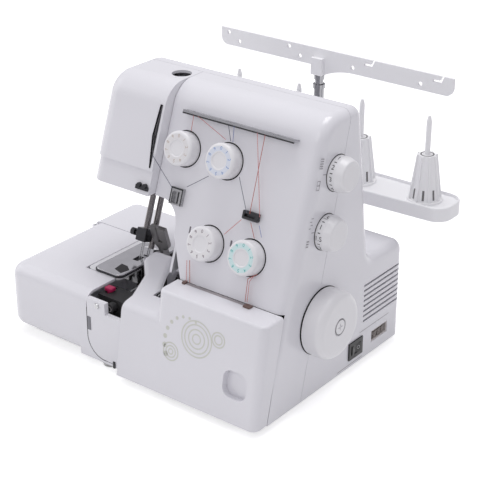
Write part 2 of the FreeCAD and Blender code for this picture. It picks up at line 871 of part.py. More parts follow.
def bed_rear():
    body = new_body()
    y0 = f"({front} + seam_y + cover_gap / 2)"
    y1 = f"({front} + bed_depth)"
    lip_x = f"({plate_right_x} + knife_way)"
    lip_y = f"({front} + shelf_rear + 2 * cover_gap)"
    plan = [(left, y0), (lip_x, y0), (lip_x, lip_y), (tower_left, lip_y), (tower_left, y1), (left, y1)]
    pad(body, outline(body, "XY_Plane", "foot_height", plan), "bed_height - foot_height")
    rounded(body, "bed_round", lambda edge: straight(edge, "z") and close(middle(edge).x, left)
            and close(middle(edge).y, y1))
    rounded(body, "bed_round / 2", lambda edge: close(middle(edge).z, "bed_height")
            and (close(middle(edge).x, left) or close(middle(edge).y, y1)))
    inner = [(f"{left} + wall", f"{front} + shelf_rear"), (f"{tower_left} + overshoot", f"{front} + shelf_rear"),
             (f"{tower_left} + overshoot", f"{y1} - wall"), (f"{left} + wall", f"{y1} - wall")]
    pocket(body, outline(body, "XY_Plane", inner_floor, inner), "bed_height - wall - foot_height + overshoot", True)
    return body


def door_form(inset, back, floor):
    """The side cover as a solid, drawn inside its skin by the inset."""
    body = new_body()
    x0 = f"({left} + {inset})"
    y0 = f"({front} + door_front + {inset})"
    top = f"(bed_height - {inset})"
    side = f"({door_right} + ({back}))"
    rear = f"({plate_back_y} - cover_gap / 2 + ({back}))"
    plan = [(x0, y0), (side, y0), (side, rear), (x0, rear)]
    pad(body, outline(body, "XY_Plane", floor, plan), f"{top} - {floor}")
    rounded(body, f"door_corner - {inset}", lambda edge: straight(edge, "z") and close(middle(edge).x, x0)
            and close(middle(edge).y, y0))
    rounded(body, f"door_keel - {inset}", lambda edge: straight(edge, "y") and close(middle(edge).x, x0)
            and close(middle(edge).z, floor))
    rounded(body, f"door_brow - {inset}", lambda edge: close(middle(edge).z, top)
            and (straight(edge, "x") and close(middle(edge).y, y0)))
    return body


def side_cover():
    outer = door_form("0", "0", "door_floor")
    inner = door_form("wall", "overshoot", "(door_floor - wall - overshoot)")
    skin = cut(outer, inner)
    plate_way = box((f"{plate_left_x} - cover_gap", f"{door_right} + overshoot"),
                    (f"{plate_front_y} - cover_gap", f"{plate_back_y} + overshoot"),
                    ("-overshoot", "bed_height + overshoot"))
    front_y = f"({front} + door_front)"
    curve_x = f"{door_right} + tongue_curve"
    tongue_low = "door_floor + tongue_lip"
    tongue_top = f"{tongue_low} + tongue_curve"
    across = (f"{front_y} - overshoot", f"{front_y} + overshoot")
    tongue_plate = box((f"{door_right} - overshoot", f"{door_right} + tongue"), (front_y, f"{front_y} + wall"),
                       ("door_floor", tongue_top))
    tongue_arc = rod("tongue_curve", curve_x, across, tongue_top)
    tongue_way = box((curve_x, f"{door_right} + tongue + overshoot"), across, (tongue_low, f"{tongue_top} + overshoot"))
    above = box((f"{door_right} - 2 * overshoot", door_right), (front_y, f"{front_y} + wall"),
                ("door_floor", tongue_top))
    tongue_piece = fuse(cut(tongue_plate, tongue_arc, tongue_way), above)
    axis_x = f"({left} + knuckle)"
    axis_y = f"({plate_back_y} - cover_gap / 2 - knuckle)"
    knuckles = []
    for z in ("door_floor + door_keel", "bed_height - wall - knuckle_length"):
        knuckles.append(rod("knuckle", axis_x, axis_y, (z, f"{z} + knuckle_length")))
    bore = rod("door_pin + run_fit", axis_x, axis_y, ("-overshoot", "bed_height - wall"))
    corner = box((f"{left} - overshoot", axis_x), (axis_y, f"{axis_y} + 2 * knuckle"),
                 ("-overshoot", "bed_height + overshoot"))
    round_corner = rod("knuckle", axis_x, axis_y, ("-2 * overshoot", "bed_height + 2 * overshoot"))
    return cut(fuse(cut(skin, plate_way), tongue_piece, *knuckles), bore, cut(corner, round_corner))


def side_cover_pin():
    return rod("door_pin", f"{left} + knuckle", f"{plate_back_y} - cover_gap / 2 - knuckle",
               ("door_floor + door_keel - knuckle_length / 2", "bed_height - wall - slip"))


keep("base_pan", base_pan())
keep("rubber_feet", rubber_feet())
keep("bed_rear", bed_rear())
keep("side_cover", side_cover())
keep("side_cover_pin", side_cover_pin())


# Front cover: slides right on its shaft, then folds down

COVER = ("0", front, "cover_floor", "cover_lean")


def cover_form(inset, back, floor):
    """The front cover as a solid, drawn inside its skin by the inset and open to the back."""
    body = new_body()
    top = f"(cover_height - {inset})"
    skin = f"({inset} / cos(cover_lean))"
    x0 = f"({cover_left} + {inset})"
    x1 = f"({right} - {inset})"
    step_x = f"({right} - tall_length + {inset})"
    rear_top = f"({front} + panel_foot - cover_gap + ({back}))"
    rear_low = f"({front} + cover_sill - cover_gap + ({back}))"
    nose = f"({front} + ({top} - cover_floor) * tan(cover_lean) + {skin})"
    profile = [(f"{front} + (({floor}) - cover_floor) * tan(cover_lean) + {skin}", floor), (nose, top),
               (rear_top, top), (rear_low, floor)]
    pad(body, outline(body, "YZ_Plane", x0, profile), f"{x1} - {x0}")
    shelf_right = f"({tower_left} - shelf_gap - {inset})"
    shelf_end = f"({right} - shelf_left + {inset})"
    rear = f"({front} + shelf_rear - {inset})"
    low = f"(bed_height - shelf_skirt - ({back}))"
    root = f"({front} + cover_sill)"
    waist = f"({front} + shelf_waist + {inset} / 2)"
    neck_x = f"({right} - shelf_neck_x + {inset})"
    neck_y = f"({front} + shelf_neck_y + {inset} / 2)"
    turn = f"({front} + shelf_turn - {inset})"
    tip_x = f"({right} - shelf_tip - {inset} / 2)"
    plan = [(x0, root), (shelf_right, root), (shelf_right, turn), (tip_x, rear), (shelf_end, rear),
            (shelf_end, waist), (neck_x, neck_y)]
    pad(body, outline(body, "XY_Plane", low, plan), f"{top} - {low}")

    def slope_z(y):
        return f"(shelf_front - {inset} / cos(shelf_slope) + (({y}) - {front}) * tan(shelf_slope))"

    far = f"({rear} + overshoot)"
    above = f"({top} + overshoot)"
    wedge = [(ahead, slope_z(ahead)), (far, slope_z(far)), (far, above), (ahead, above)]
    pocket(body, outline(body, "YZ_Plane", step_x, wedge), "cover_length")

    def on_slope(edge):
        spot = middle(edge)
        return close(spot.z, slope_z(f"{spot.y:.6f}"))

    def upright(edge, x, y):
        return straight(edge, "z") and close(middle(edge).x, x) and close(middle(edge).y, y)

    rounded(body, f"shelf_corner - {inset}",
            lambda edge: upright(edge, shelf_end, rear) or upright(edge, shelf_end, waist))
    rounded(body, f"shelf_corner + {inset}", lambda edge: upright(edge, neck_x, neck_y))
    rounded(body, f"cover_side_round - {inset}", lambda edge: middle(edge).z > value("cover_floor + wall")
            and not straight(edge, "y") and middle(edge).y < value(nose)
            and (close(middle(edge).x, x1) or close(middle(edge).x, step_x)))
    rounded(body, f"cover_round - {inset}", lambda edge: straight(edge, "x") and close(middle(edge).z, top)
            and close(middle(edge).y, nose))
    rounded(body, f"shelf_round - {inset}", lambda edge: on_slope(edge)
            and middle(edge).x < value(f"{shelf_right} - overshoot") and middle(edge).y > value(root))
    rounded(body, f"shelf_brow - {inset}", lambda edge: on_slope(edge) and straight(edge, "x")
            and middle(edge).y < value(root))
    return body


def front_cover():
    outer = cover_form("0", "0", "cover_floor")
    inner = cover_form("wall", "overshoot + panel_foot", "(cover_floor - overshoot)")
    grip_x = f"({right} - grip_inset)"
    grip_span = (f"{grip_x} - grip_width / 2", f"{grip_x} + grip_width / 2")
    grip_rise = ("grip_level", "grip_level + grip_height")
    pouch = common(outer, box((f"{grip_span[0]} - wall", f"{grip_span[1]} + wall"),
                              ("-overshoot", "grip_depth + wall"),
                              (f"{grip_rise[0]} - wall", f"{grip_rise[1]} + wall"), COVER))
    grip = new_body()
    grip_plan = [(grip_span[0], grip_rise[0]), (grip_span[1], grip_rise[0]),
                 (grip_span[1], grip_rise[1]), (grip_span[0], grip_rise[1])]
    pad(grip, outline(grip, "XZ_Plane", "-grip_depth", grip_plan), "grip_depth + overshoot")
    rounded(grip, "grip_width / 3", lambda edge: straight(edge, "y"))
    place(grip, COVER[:3], (-1, 0, 0), COVER[3])
    knuckles = []
    for x in (f"{cover_left} + hinge_lug_inset", f"{right} - hinge_lug_inset"):
        start = f"({x} + hinge_lug_length / 2 + slip)"
        span = (start, f"{start} + hinge_lug_length")
        eye = rod("hinge_lug", span, f"{front} + hinge_y", "hinge_z")
        web = box(span, (front, f"{front} + hinge_y"), ("cover_floor", "hinge_z"))
        knuckles += [eye, common(web, outer)]
    bore = rod("hinge_radius + run_fit", (cover_left, f"{right} - wall"), f"{front} + hinge_y", "hinge_z")
    return cut(fuse(cut(outer, inner), pouch, *knuckles), bore, grip)


def front_cover_shaft():
    return rod("hinge_radius", (f"{cover_left} + wall + slip", f"{right} - wall - slip"),
               f"{front} + hinge_y", "hinge_z")


keep("front_cover", front_cover())
keep("front_cover_shaft", front_cover_shaft())


# Machine frame

presser_axis_x = f"({right} - needle_x + presser_x)"
knife_x = (f"{plate_right_x} + (knife_way - knife_thickness) / 2",
           f"{plate_right_x} + (knife_way + knife_thickness) / 2")
take_up_x = f"({face_right} - wall - slot_width / 2)"
looper_back = f"({front} + frame_front + bay_wall)"
feed_bar_x = (f"{right} - needle_x - feed_bar_width / 2", f"{right} - needle_x + feed_bar_width / 2")
feed_bar_top = "(bed_height - plate_thickness - feed_bar_drop)"
plate_bottom = "(bed_height - plate_thickness)"
LOOPERS = {
    "lower_looper": ("lower_looper_x", "looper_y", "lower_looper_z", "lower_looper_radius",
                     "lower_looper_start", "lower_looper_sweep"),
    "upper_looper": ("upper_looper_x", "looper_y + looper_gap", "upper_looper_z", "upper_looper_radius",
                     "upper_looper_start", "upper_looper_sweep"),
}


def machine_frame():
    """The casting that carries the shaft, the bars, the needle plate, the loopers and the motor."""
    rail_x = (plate_left_x, f"{right} - lug_right")
    rail_y = (f"{front} + frame_front", f"{front} + frame_back")
    rail = box(rail_x, rail_y, (pan_top, f"{pan_top} + rail_height"))
    lug_y = (f"{shaft_y} - lug_width / 2", f"{shaft_y} + lug_width / 2")
    lugs = [box((f"{right} - {x} - lug_thickness", f"{right} - {x}"), lug_y,
                (pan_top, "wheel_z + lug_width / 2")) for x in ("lug_right", lug_left)]
    post_x = (f"{right} - {lug_left} - lug_thickness", f"{right} - {lug_left} - lug_thickness + post_width")
    post = box(post_x, (f"{front} + post_front", rail_y[1]), (pan_top, "arm_bottom + arm_height"))
    arm = box((f"{presser_axis_x} + guide_margin - overshoot", post_x[1]), (f"{front} + arm_front", rail_y[1]),
              ("arm_bottom", "arm_bottom + arm_height"))
    guide = box(("-guide_margin", "presser_x + guide_margin"), ("-guide_margin", "presser_y + guide_margin"),
                ("guide_low", "guide_high"), NEEDLE)
    take_up = in_frame(PANEL, "0", "take_up_pivot", take_up_level)
    ear_x = (f"{face_right} + seam_gap + take_up_hub / 2", f"{face_right} + seam_gap + take_up_hub")
    ear = box(ear_x, (f"{take_up[1]} - take_up_hub / 2", f"{front} + frame_back"),
              ("arm_bottom", f"{take_up[2]} + take_up_hub / 2"))
    take_up_pin = rod("take_up_hub / 3", (f"{take_up_x} - take_up_hub / 2", ear_x[1]), take_up[1], take_up[2])
    bay = box((f"{plate_right_x} + knife_way", post_x[0]), (looper_back, f"{looper_back} + bay_wall"),
              (pan_top, "bay_top"))
    pillar = box((f"{plate_left_x} + bay_wall / 2", f"{plate_right_x} - bay_wall / 2"),
                 (f"{plate_back_y} - 3 * bay_wall", f"{plate_back_y} - bay_wall / 2"), (pan_top, plate_bottom))
    knife_lug_x = f"({plate_right_x} + knife_way)"
    knife_lug = box((knife_lug_x, f"{knife_lug_x} + bay_wall"),
                    (f"{front} + knife_pivot_y - knife_hub", f"{front} + knife_pivot_y + knife_hub"),
                    (pan_top, "knife_pivot_z + knife_hub"))
    knife_pin = rod("knife_pin", (f"{knife_x[0]} - slip", knife_lug_x), f"{front} + knife_pivot_y", "knife_pivot_z")
    looper_pins = [rod("looper_pin", f"{right} - {x}", (f"{front} + {y} - looper_hub", looper_back), z)
                   for x, y, z, *_ in LOOPERS.values()]
    motor_middle = f"({right} - motor_inset - motor_length / 2)"
    mount = box((f"{motor_middle} - mount_length / 2", f"{motor_middle} + mount_length / 2"),
                (rail_y[1], f"{motor_axis_y} + mount_width / 2"), (pan_top, "motor_z - motor_radius / 2"))
    bores = [rod("bar_radius + run_fit", x, y, ("guide_low - overshoot", "guide_high + overshoot"), NEEDLE)
             for x, y in (("0", "0"), ("presser_x", "presser_y"))]
    bores.append(rod("bush_radius", (rail_x[0], right), shaft_y, "wheel_z"))
    bores.append(rod("motor_radius", (f"{right} - motor_inset - motor_length", f"{right} - motor_inset"),
                     motor_axis_y, "motor_z"))
    feed_way = box((f"{feed_bar_x[0]} - slip", f"{feed_bar_x[1]} + slip"),
                   (f"{front} + feed_front", f"{front} + bed_depth"),
                   (f"{feed_bar_top} - feed_bar_height - slip", f"{feed_bar_top} + slip"))
    return cut(fuse(rail, *lugs, post, arm, guide, ear, take_up_pin, bay, pillar, knife_lug, knife_pin,
                    *looper_pins, mount), *bores, feed_way)


def needle_plate():
    body = new_body()
    plan = [(plate_left_x, plate_front_y), (plate_right_x, plate_front_y), (plate_right_x, plate_back_y),
            (plate_left_x, plate_back_y)]
    pad(body, outline(body, "XY_Plane", plate_bottom, plan), "plate_thickness")
    rounded(body, "plate_round", lambda edge: straight(edge, "z") and close(middle(edge).y, plate_front_y))
    slots = []
    for side in ("-1", "1"):
        x = f"({right} - needle_x + {side} * feed_pitch)"
        slots.append(box((f"{x} - feed_width / 2 - slip", f"{x} + feed_width / 2 + slip"),
                         (f"{front} + feed_front - feed_travel", f"{front} + feed_front + feed_length + feed_travel"),
                         (f"{plate_bottom} - overshoot", "bed_height + overshoot")))
    slots.append(box((f"{right} - needle_x - feed_pitch / 3", f"{right} - needle_x + feed_pitch / 3"),
                     (f"{front} + needle_y - feed_pitch", f"{front} + needle_y + feed_pitch / 2"),
                     (f"{plate_bottom} - overshoot", "bed_height + overshoot")))
    return cut(body, *slots)


def front_bracket():
    """Sheet standing inside the front opening, with the cutting width dial and the stitch finger slide."""
    x = (f"{right} - bracket_left", f"{right} - bracket_left + bracket_width")
    y = f"({front} + bracket_front)"
    upright = box(x, (y, f"{y} + bracket_sheet"), (pan_top, "bracket_top"))
    shelf = box(x, (y, f"{y} + bracket_depth"), ("bracket_top - bracket_sheet", "bracket_top"))
    stem = rod("width_dial_stem + run_fit", f"{right} - width_dial_x", (f"{y} - overshoot", f"{y} + overshoot"),
               "width_dial_z")
    finger = box((f"{right} - finger_x - width_dial_stem - slip", f"{right} - finger_x + width_dial_stem + slip"),
                 (f"{y} + 2 * bracket_sheet", f"{y} + bracket_depth - bracket_sheet"),
                 ("bracket_top - overshoot", "bracket_top + overshoot"))
    return cut(fuse(upright, shelf), stem, finger)


keep("machine_frame", machine_frame())
keep("needle_plate", needle_plate())
keep("front_bracket", front_bracket())


# Drive

def along_x(body, x, y, z):
    """Lays a turned body on its side, with its axis along X."""
    return place(body, (x, y, z), (0, 1, 0), "90")


def main_shaft():
    return rod("shaft_radius", (f"{right} - {lug_left} - lug_thickness - overshoot",
                                f"{right} + wheel_gap + wheel_thickness - wheel_screw"), shaft_y, "wheel_z")


def shaft_bushes():
    bushes = []
    for x in ("lug_right", lug_left):
        bush = turned([("shaft_radius + run_fit", "0"), ("bush_radius", "0"), ("bush_radius", "lug_thickness"),
                       ("shaft_radius + run_fit", "lug_thickness")])
        bushes.append(along_x(bush, f"{right} - {x} - lug_thickness", shaft_y, "wheel_z"))
    return group(bushes)


def handwheel():
    bore = "shaft_radius + run_fit"
    depth = "wheel_thickness - wheel_screw"
    body = turned([(bore, "0"), ("wheel_radius", "0"), ("wheel_radius", "wheel_thickness"),
                   ("wheel_screw + wheel_dish", "wheel_thickness"), ("wheel_screw", "wheel_thickness - wheel_dish"),
                   ("0", "wheel_thickness - wheel_dish"), ("0", depth), (bore, depth)])
    rounded(body, "wheel_round", lambda edge: close(edge.BoundBox.XLength, "2 * wheel_radius")
            and close(middle(edge).z, "wheel_thickness"))
    return along_x(body, f"{right} + wheel_gap", shaft_y, "wheel_z")


def handwheel_screw():
    body = turned([("0", "0"), ("wheel_screw - slip", "0"), ("wheel_screw - slip", "wheel_dish"),
                   ("0", "wheel_dish")])
    arms = [box((f"-{a}", a), (f"-{b}", b), ("wheel_dish / 2", "2 * wheel_dish"))
            for a, b in (("wheel_screw / 2", "wheel_screw / 12"), ("wheel_screw / 12", "wheel_screw / 2"))]
    cross = fuse(*arms)
    place(body, ("0", "0", "0"))
    head = cut(body, cross)
    holder = doc.addObject("Part::Feature", "Screw")
    doc.recompute()
    holder.Shape = head.Shape
    return along_x(holder, f"{right} + wheel_gap + wheel_thickness - wheel_dish", shaft_y, "wheel_z")


def pulley(radius, bore, length):
    rim = f"{radius} + pulley_flange"
    return turned([(bore, "0"), (rim, "0"), (rim, "pulley_flange"), (radius, "pulley_flange"),
                   (radius, f"{length} - pulley_flange"), (rim, f"{length} - pulley_flange"), (rim, length),
                   (bore, length)])


def motor_pulley():
    wheel = pulley("motor_pulley_radius", "0", "pulley_width")
    along_x(wheel, f"{right} - pulley_inset - pulley_width", motor_axis_y, "motor_z")
    stub = rod("motor_shaft", (f"{right} - motor_inset - motor_shaft", f"{right} - pulley_inset - pulley_width"),
               motor_axis_y, "motor_z")
    return fuse(wheel, stub)


def motor():
    cap = "motor_radius * 0.86"
    body = turned([("0", "0"), (cap, "0"), ("motor_radius", "motor_shaft"),
                   ("motor_radius", "motor_length - motor_shaft"), (cap, "motor_length"),
                   ("motor_shaft + run_fit", "motor_length"),
                   ("motor_shaft + run_fit", "motor_length - motor_shaft - run_fit"),
                   ("0", "motor_length - motor_shaft - run_fit")])
    return along_x(body, f"{right} - motor_inset - motor_length", motor_axis_y, "motor_z")


def belt_loop(extra):
    """Face round both pulleys at a distance from their rims, in the YZ plane."""
    a = Vector(0, value(shaft_y), value("wheel_z"))
    b = Vector(0, value(motor_axis_y), value("motor_z"))
    ra = value("pulley_radius") + extra
    rb = value("motor_pulley_radius") + extra
    line = b.sub(a)
    heading = math.atan2(line.z, line.y)
    spread = math.acos((ra - rb) / line.Length)

    def rim(centre, radius, angle):
        return centre.add(Vector(0, radius * math.cos(angle), radius * math.sin(angle)))

    top, low = heading + spread, heading - spread
    edges = [Part.Arc(rim(a, ra, top), rim(a, ra, heading + math.pi), rim(a, ra, low)).toShape(),
             Part.LineSegment(rim(a, ra, low), rim(b, rb, low)).toShape(),
             Part.Arc(rim(b, rb, low), rim(b, rb, heading), rim(b, rb, top)).toShape(),
             Part.LineSegment(rim(b, rb, top), rim(a, ra, top)).toShape()]
    return Part.Face(Part.Wire(edges))


def drive_belt():
    gap = value("slip / 2")
    ring = belt_loop(gap + value("belt_thickness")).cut(belt_loop(gap))
    width = value("pulley_width - 2 * pulley_flange - 2 * slip")
    belt = doc.addObject("Part::Feature", "Belt")
    belt.Shape = ring.extrude(Vector(width, 0, 0))
    return place(belt, (f"{right} - pulley_inset - pulley_width + pulley_flange + slip", "0", "0"))


keep("main_shaft", main_shaft())
keep("shaft_bushes", shaft_bushes())
keep("handwheel", handwheel())
keep("handwheel_screw", handwheel_screw())
keep("shaft_pulley", along_x(pulley("pulley_radius", "shaft_radius + run_fit", "pulley_width"),
                             f"{right} - pulley_inset - pulley_width", shaft_y, "wheel_z"))
keep("motor", motor())
keep("motor_pulley", motor_pulley())
keep("drive_belt", drive_belt())


# Needle bar, presser bar and foot

def soft_block(x, y, z, radius, frame=UPRIGHT):
    """A block of a frame with all its edges rounded."""
    body = new_body()
    plan = [(x[0], y[0]), (x[1], y[0]), (x[1], y[1]), (x[0], y[1])]
    pad(body, outline(body, "XY_Plane", z[0], plan), f"({z[1]}) - ({z[0]})")
    rounded(body, radius, lambda edge: True)
    return place(body, frame[:3], (-1, 0, 0), frame[3])


def needle_clamp():
    side = "(-clamp_width / 2 - clamp_shift)"
    block = soft_block((side, f"{side} + clamp_width"), ("-clamp_depth / 2", "clamp_depth / 2"),
                       ("clamp_low", "clamp_low + clamp_height"), "clamp_screw / 2", NEEDLE)
    bore = rod("bar_radius", "0", "0", ("needle_bar_low", "clamp_low + 2 * clamp_height"), NEEDLE)
    level = "clamp_low + clamp_height / 2"
    screw = rod("clamp_screw", (f"{side} - clamp_screw_reach", side), "0", level, NEEDLE)
    knob = rod("2 * clamp_screw", (f"{side} - clamp_screw_reach", f"{side} - clamp_screw_reach / 2"),
               "0", level, NEEDLE)
    return fuse(cut(block, bore), screw, knob)


def needles():
    pair = []
    for side in ("-1", "1"):
        needle = turned([("0", "needle_tip"), ("needle_radius", "needle_tip + 6 * needle_radius"),
                         ("needle_radius", "clamp_low"), ("0", "clamp_low")])
        at = in_frame(NEEDLE, f"{side} * needle_pitch / 2", "0", "0")
        pair.append(place(needle, at, (-1, 0, 0), "bar_lean"))
    return group(pair)


def presser_foot():
    body = new_body()
    foot_x = f"({right} - needle_x - foot_shift)"
    x = (f"{foot_x} - foot_width / 2", f"{foot_x} + foot_width / 2")
    y0 = f"({front} + foot_front)"
    bottom = "(bed_height + foot_lift_gap)"
    plan = [(x[0], y0), (x[1], y0), (x[1], f"{y0} + foot_length"), (x[0], f"{y0} + foot_length")]
    pad(body, outline(body, "XY_Plane", bottom, plan), "foot_thickness")
    rounded(body, "foot_nose", lambda edge: straight(edge, "z"))
    rounded(body, "foot_thickness / 4", lambda edge: close(middle(edge).z, f"{bottom} + foot_thickness"))
    shank = box(("presser_x - shank_width / 2", "presser_x + shank_width / 2"),
                ("presser_y - bar_radius", "presser_y - bar_radius + shank_depth"),
                ("foot_thickness + foot_lift_gap + bar_radius", "shank_height"), NEEDLE)
    window = box((f"{right} - needle_x - feed_pitch / 2", f"{right} - needle_x + feed_pitch / 2"),
                 (f"{front} + needle_y - feed_pitch", f"{front} + needle_y + feed_pitch / 2"),
                 ("bed_height", "bed_height + clamp_low"))
    return cut(fuse(body, shank), window)


LEVER = (f"{presser_axis_x}", f"({front} + lever_y)", "lever_z", "lever_slope")


def presser_lever():
    hub = rod("lever_hub", ("-lever_width / 2", "lever_width / 2"), "0", "0", LEVER)
    paddle = soft_block(("-lever_width / 2", "lever_width / 2"), ("-lever_thickness / 2", "lever_thickness / 2"),
                        ("0", "lever_length"), "lever_thickness / 3", LEVER)
    bore = rod("lever_pin + run_fit", ("-lever_width", "lever_width"), "0", "0", LEVER)
    return cut(fuse(hub, paddle), bore)


def pressure_dial():
    body = turned([("0", "arm_bottom + arm_height"), ("pressure_stem", "arm_bottom + arm_height"),
                   ("pressure_stem", "body_height - 3 * pressure_sink"),
                   ("pressure_radius", "body_height - 3 * pressure_sink"),
                   ("pressure_radius", "body_height - pressure_sink"), ("0", "body_height - pressure_sink")])
    return place(body, (f"{right} - pressure_x", f"{front} + pressure_y", "0"))


def take_up_lever():
    x = (f"{take_up_x} - take_up_thickness / 2", f"{take_up_x} + take_up_thickness / 2")
    hub = rod("take_up_hub", x, "take_up_pivot", take_up_level, PANEL)
    arm = box(x, ("take_up_pivot - take_up_reach", "take_up_pivot"),
              (f"{take_up_level} - take_up_hub / 2", f"{take_up_level} + take_up_hub / 2"), PANEL)
    bore = rod("take_up_hub / 3 + run_fit", (f"{x[0]} - overshoot", f"{x[1]} + overshoot"), "take_up_pivot",
               take_up_level, PANEL)
    eye = rod("take_up_thickness", (f"{x[0]} - overshoot", f"{x[1]} + overshoot"),
              "take_up_pivot - take_up_reach + take_up_hub / 2", take_up_level, PANEL)
    return cut(fuse(hub, arm), bore, eye)


keep("needle_bar", rod("bar_radius", "0", "0", ("needle_bar_low", "needle_bar_high"), NEEDLE))
keep("needle_clamp", needle_clamp())
keep("needles", needles())
keep("presser_bar", rod("bar_radius", "presser_x", "presser_y", ("shank_height", "presser_bar_high"), NEEDLE))
keep("presser_foot", presser_foot())
keep("presser_lever", presser_lever())
keep("pressure_dial", pressure_dial())
keep("take_up_lever", take_up_lever())


# Knives, loopers and feed

KNIFE = ("0", f"({front} + knife_pivot_y)", "knife_pivot_z", "-knife_lean")


def upper_knife():
    reach = "(knife_top - knife_pivot_z) / cos(knife_lean)"
    plate_low = f"({reach} - knife_plate_height)"
    hub = rod("knife_hub", knife_x, "0", "0", KNIFE)
    arm = box(knife_x, ("-knife_arm / 2", "knife_arm / 2"), ("0", f"{plate_low} + overshoot"), KNIFE)
    face_x = (f"{knife_x[0]} - knife_plate_reach", f"{knife_x[0]} - knife_plate_reach + knife_plate_width")
    plate = new_body()
    corners = [(face_x[0], plate_low), (face_x[1], plate_low), (face_x[1], reach), (face_x[0], reach)]
    pad(plate, outline(plate, "XZ_Plane", "0", corners), "knife_arm / 2 + slip")
    rounded(plate, "knife_plate_round", lambda edge: straight(edge, "y") and close(middle(edge).z, plate_low))
    rounded(plate, "knife_thickness / 5", lambda edge: straight(edge, "y") and close(middle(edge).z, reach))
    place(plate, KNIFE[:3], (-1, 0, 0), KNIFE[3])
    slot_x = f"({face_x[1]} - knife_plate_width / 2 - knife_slot)"
    slot_low = f"({plate_low} + knife_plate_height / 3)"
    through = ("-knife_arm", "knife_arm")
    slot = box((slot_x, f"{slot_x} + knife_slot"), through, (slot_low, f"{reach} + overshoot"), KNIFE)
    foot = box((slot_x, f"{slot_x} + 2 * knife_slot"), through, (slot_low, f"{slot_low} + knife_slot"), KNIFE)
    bore = rod("knife_pin + run_fit", (f"{knife_x[0]} - overshoot", f"{knife_x[1]} + overshoot"), "0", "0", KNIFE)
    return cut(fuse(hub, arm, plate), bore, slot, foot)


def lower_knife():
    y = f"({front} + lower_knife_y)"
    return box((plate_right_x, f"{plate_right_x} + sheet_steel"), (y, f"{y} + lower_knife_length"),
               ("bed_height - lower_knife_height", "bed_height"))


def looper(x, y, z, radius, start, sweep):
    """A hub on its pin with a curved arm that rises to the needle plate."""
    centre = (f"{right} - {x}", f"{front} + {y}", z)
    hub = rod("looper_hub", centre[0], (f"{centre[1]} - looper_hub / 2", f"{centre[1]} + looper_hub / 2"), z)
    arc = doc.addObject("Part::Torus", "Arc")
    arc.setExpression("Radius1", bind(radius))
    arc.setExpression("Radius2", bind("looper_rod"))
    arc.setExpression("Angle3", bind(sweep))
    arc.Placement = FreeCAD.Placement(Vector(), FreeCAD.Rotation(Vector(1, 0, 0), 90).multiply(
        FreeCAD.Rotation(Vector(0, 0, 1), value(start))))
    for name, text in zip("xyz", centre):
        arc.setExpression(f"Placement.Base.{name}", bind(text))
    spoke = doc.addObject("Part::Cone", "Spoke")
    spoke.setExpression("Radius1", bind("looper_hub / 2"))
    spoke.setExpression("Radius2", bind("looper_rod"))
    spoke.setExpression("Height", bind(radius))
    spoke.Placement.Rotation = FreeCAD.Rotation(Vector(0, 1, 0), 90 - value(start))
    for name, text in zip("xyz", centre):
        spoke.setExpression(f"Placement.Base.{name}", bind(text))
    bore = rod("looper_pin + run_fit", centre[0], (f"{centre[1]} - 2 * looper_hub", f"{centre[1]} + 2 * looper_hub"), z)
    return cut(fuse(hub, arc, spoke), bore)


def feed_dogs():
    """Two toothed blades on a bar that slides under the needle plate."""
    y0 = f"({front} + feed_front)"
    root = "(bed_height - feed_sink - feed_tooth / 2)"
    crest = "(bed_height - feed_sink)"
    teeth = int(value("feed_length / feed_tooth"))
    pieces = [box(feed_bar_x, (y0, f"{plate_back_y} - 2 * feed_travel"),
                  (f"{feed_bar_top} - feed_bar_height", feed_bar_top))]
    for side in ("-1", "1"):
        blade = new_body()
        points = [(y0, feed_bar_top)]
        for number in range(teeth):
            points.append((f"{y0} + {number} * feed_tooth", root))
            points.append((f"{y0} + {number + 1} * feed_tooth", crest))
        points.append((f"{y0} + {teeth} * feed_tooth", feed_bar_top))
        x = f"({right} - needle_x + {side} * feed_pitch - feed_width / 2)"
        pad(blade, outline(blade, "YZ_Plane", x, points), "feed_width")
        pieces.append(blade)
    needle_way = box((f"{right} - needle_x - feed_pitch / 3", f"{right} - needle_x + feed_pitch / 3"),
                     (f"{y0} - overshoot", f"{front} + needle_y + feed_pitch / 2"), ("0", "bed_height"))
    return cut(fuse(*pieces), needle_way)


keep("upper_knife", upper_knife())
keep("lower_knife", lower_knife())
for label, layout in LOOPERS.items():
    keep(label, looper(*layout))
keep("feed_dogs", feed_dogs())


# Dials, guides and small controls

def cutting_width_dial():
    y = f"({front} + bracket_front)"
    knob = rod("width_dial_radius", f"{right} - width_dial_x", (f"{y} - slip - width_dial_length", f"{y} - slip"),
               "width_dial_z")
    stem = rod("width_dial_stem", f"{right} - width_dial_x", (f"{y} - slip", f"{y} + bracket_sheet"),
               "width_dial_z")
    return fuse(knob, stem)


def stitch_finger_slide():
    y = f"({front} + bracket_front + bracket_depth / 2)"
    knob = soft_block((f"{right} - finger_x - finger_width / 2", f"{right} - finger_x + finger_width / 2"),
                      (f"{y} - finger_depth / 2", f"{y} + finger_depth / 2"),
                      ("bracket_top + slip", "bracket_top + slip + finger_height"), "finger_height / 4")
    stem = box((f"{right} - finger_x - width_dial_stem", f"{right} - finger_x + width_dial_stem"),
               (f"{y} - width_dial_stem", f"{y} + width_dial_stem"),
               ("bracket_top - bracket_sheet", "bracket_top + finger_height / 2"))
    return fuse(knob, stem)


def tension_dial(x, along):
    bore = "spindle_radius + run_fit"
    body = turned([(bore, "0"), ("dial_radius", "0"), ("dial_radius", "dial_height"),
                   ("dial_radius / 2", "dial_height"), ("dial_radius / 2 - dial_dish", "dial_height - dial_dish"),
                   ("0", "dial_height - dial_dish"), ("0", "spindle_reach + slip"),
                   (bore, "spindle_reach + slip")])
    rounded(body, "dial_round", lambda edge: close(edge.BoundBox.XLength, "2 * dial_radius")
            and close(middle(edge).z, "dial_height"))
    return place(body, in_frame(PANEL, f"{right} - {x}", "0", along), (1, 0, 0), "90 - panel_lean")


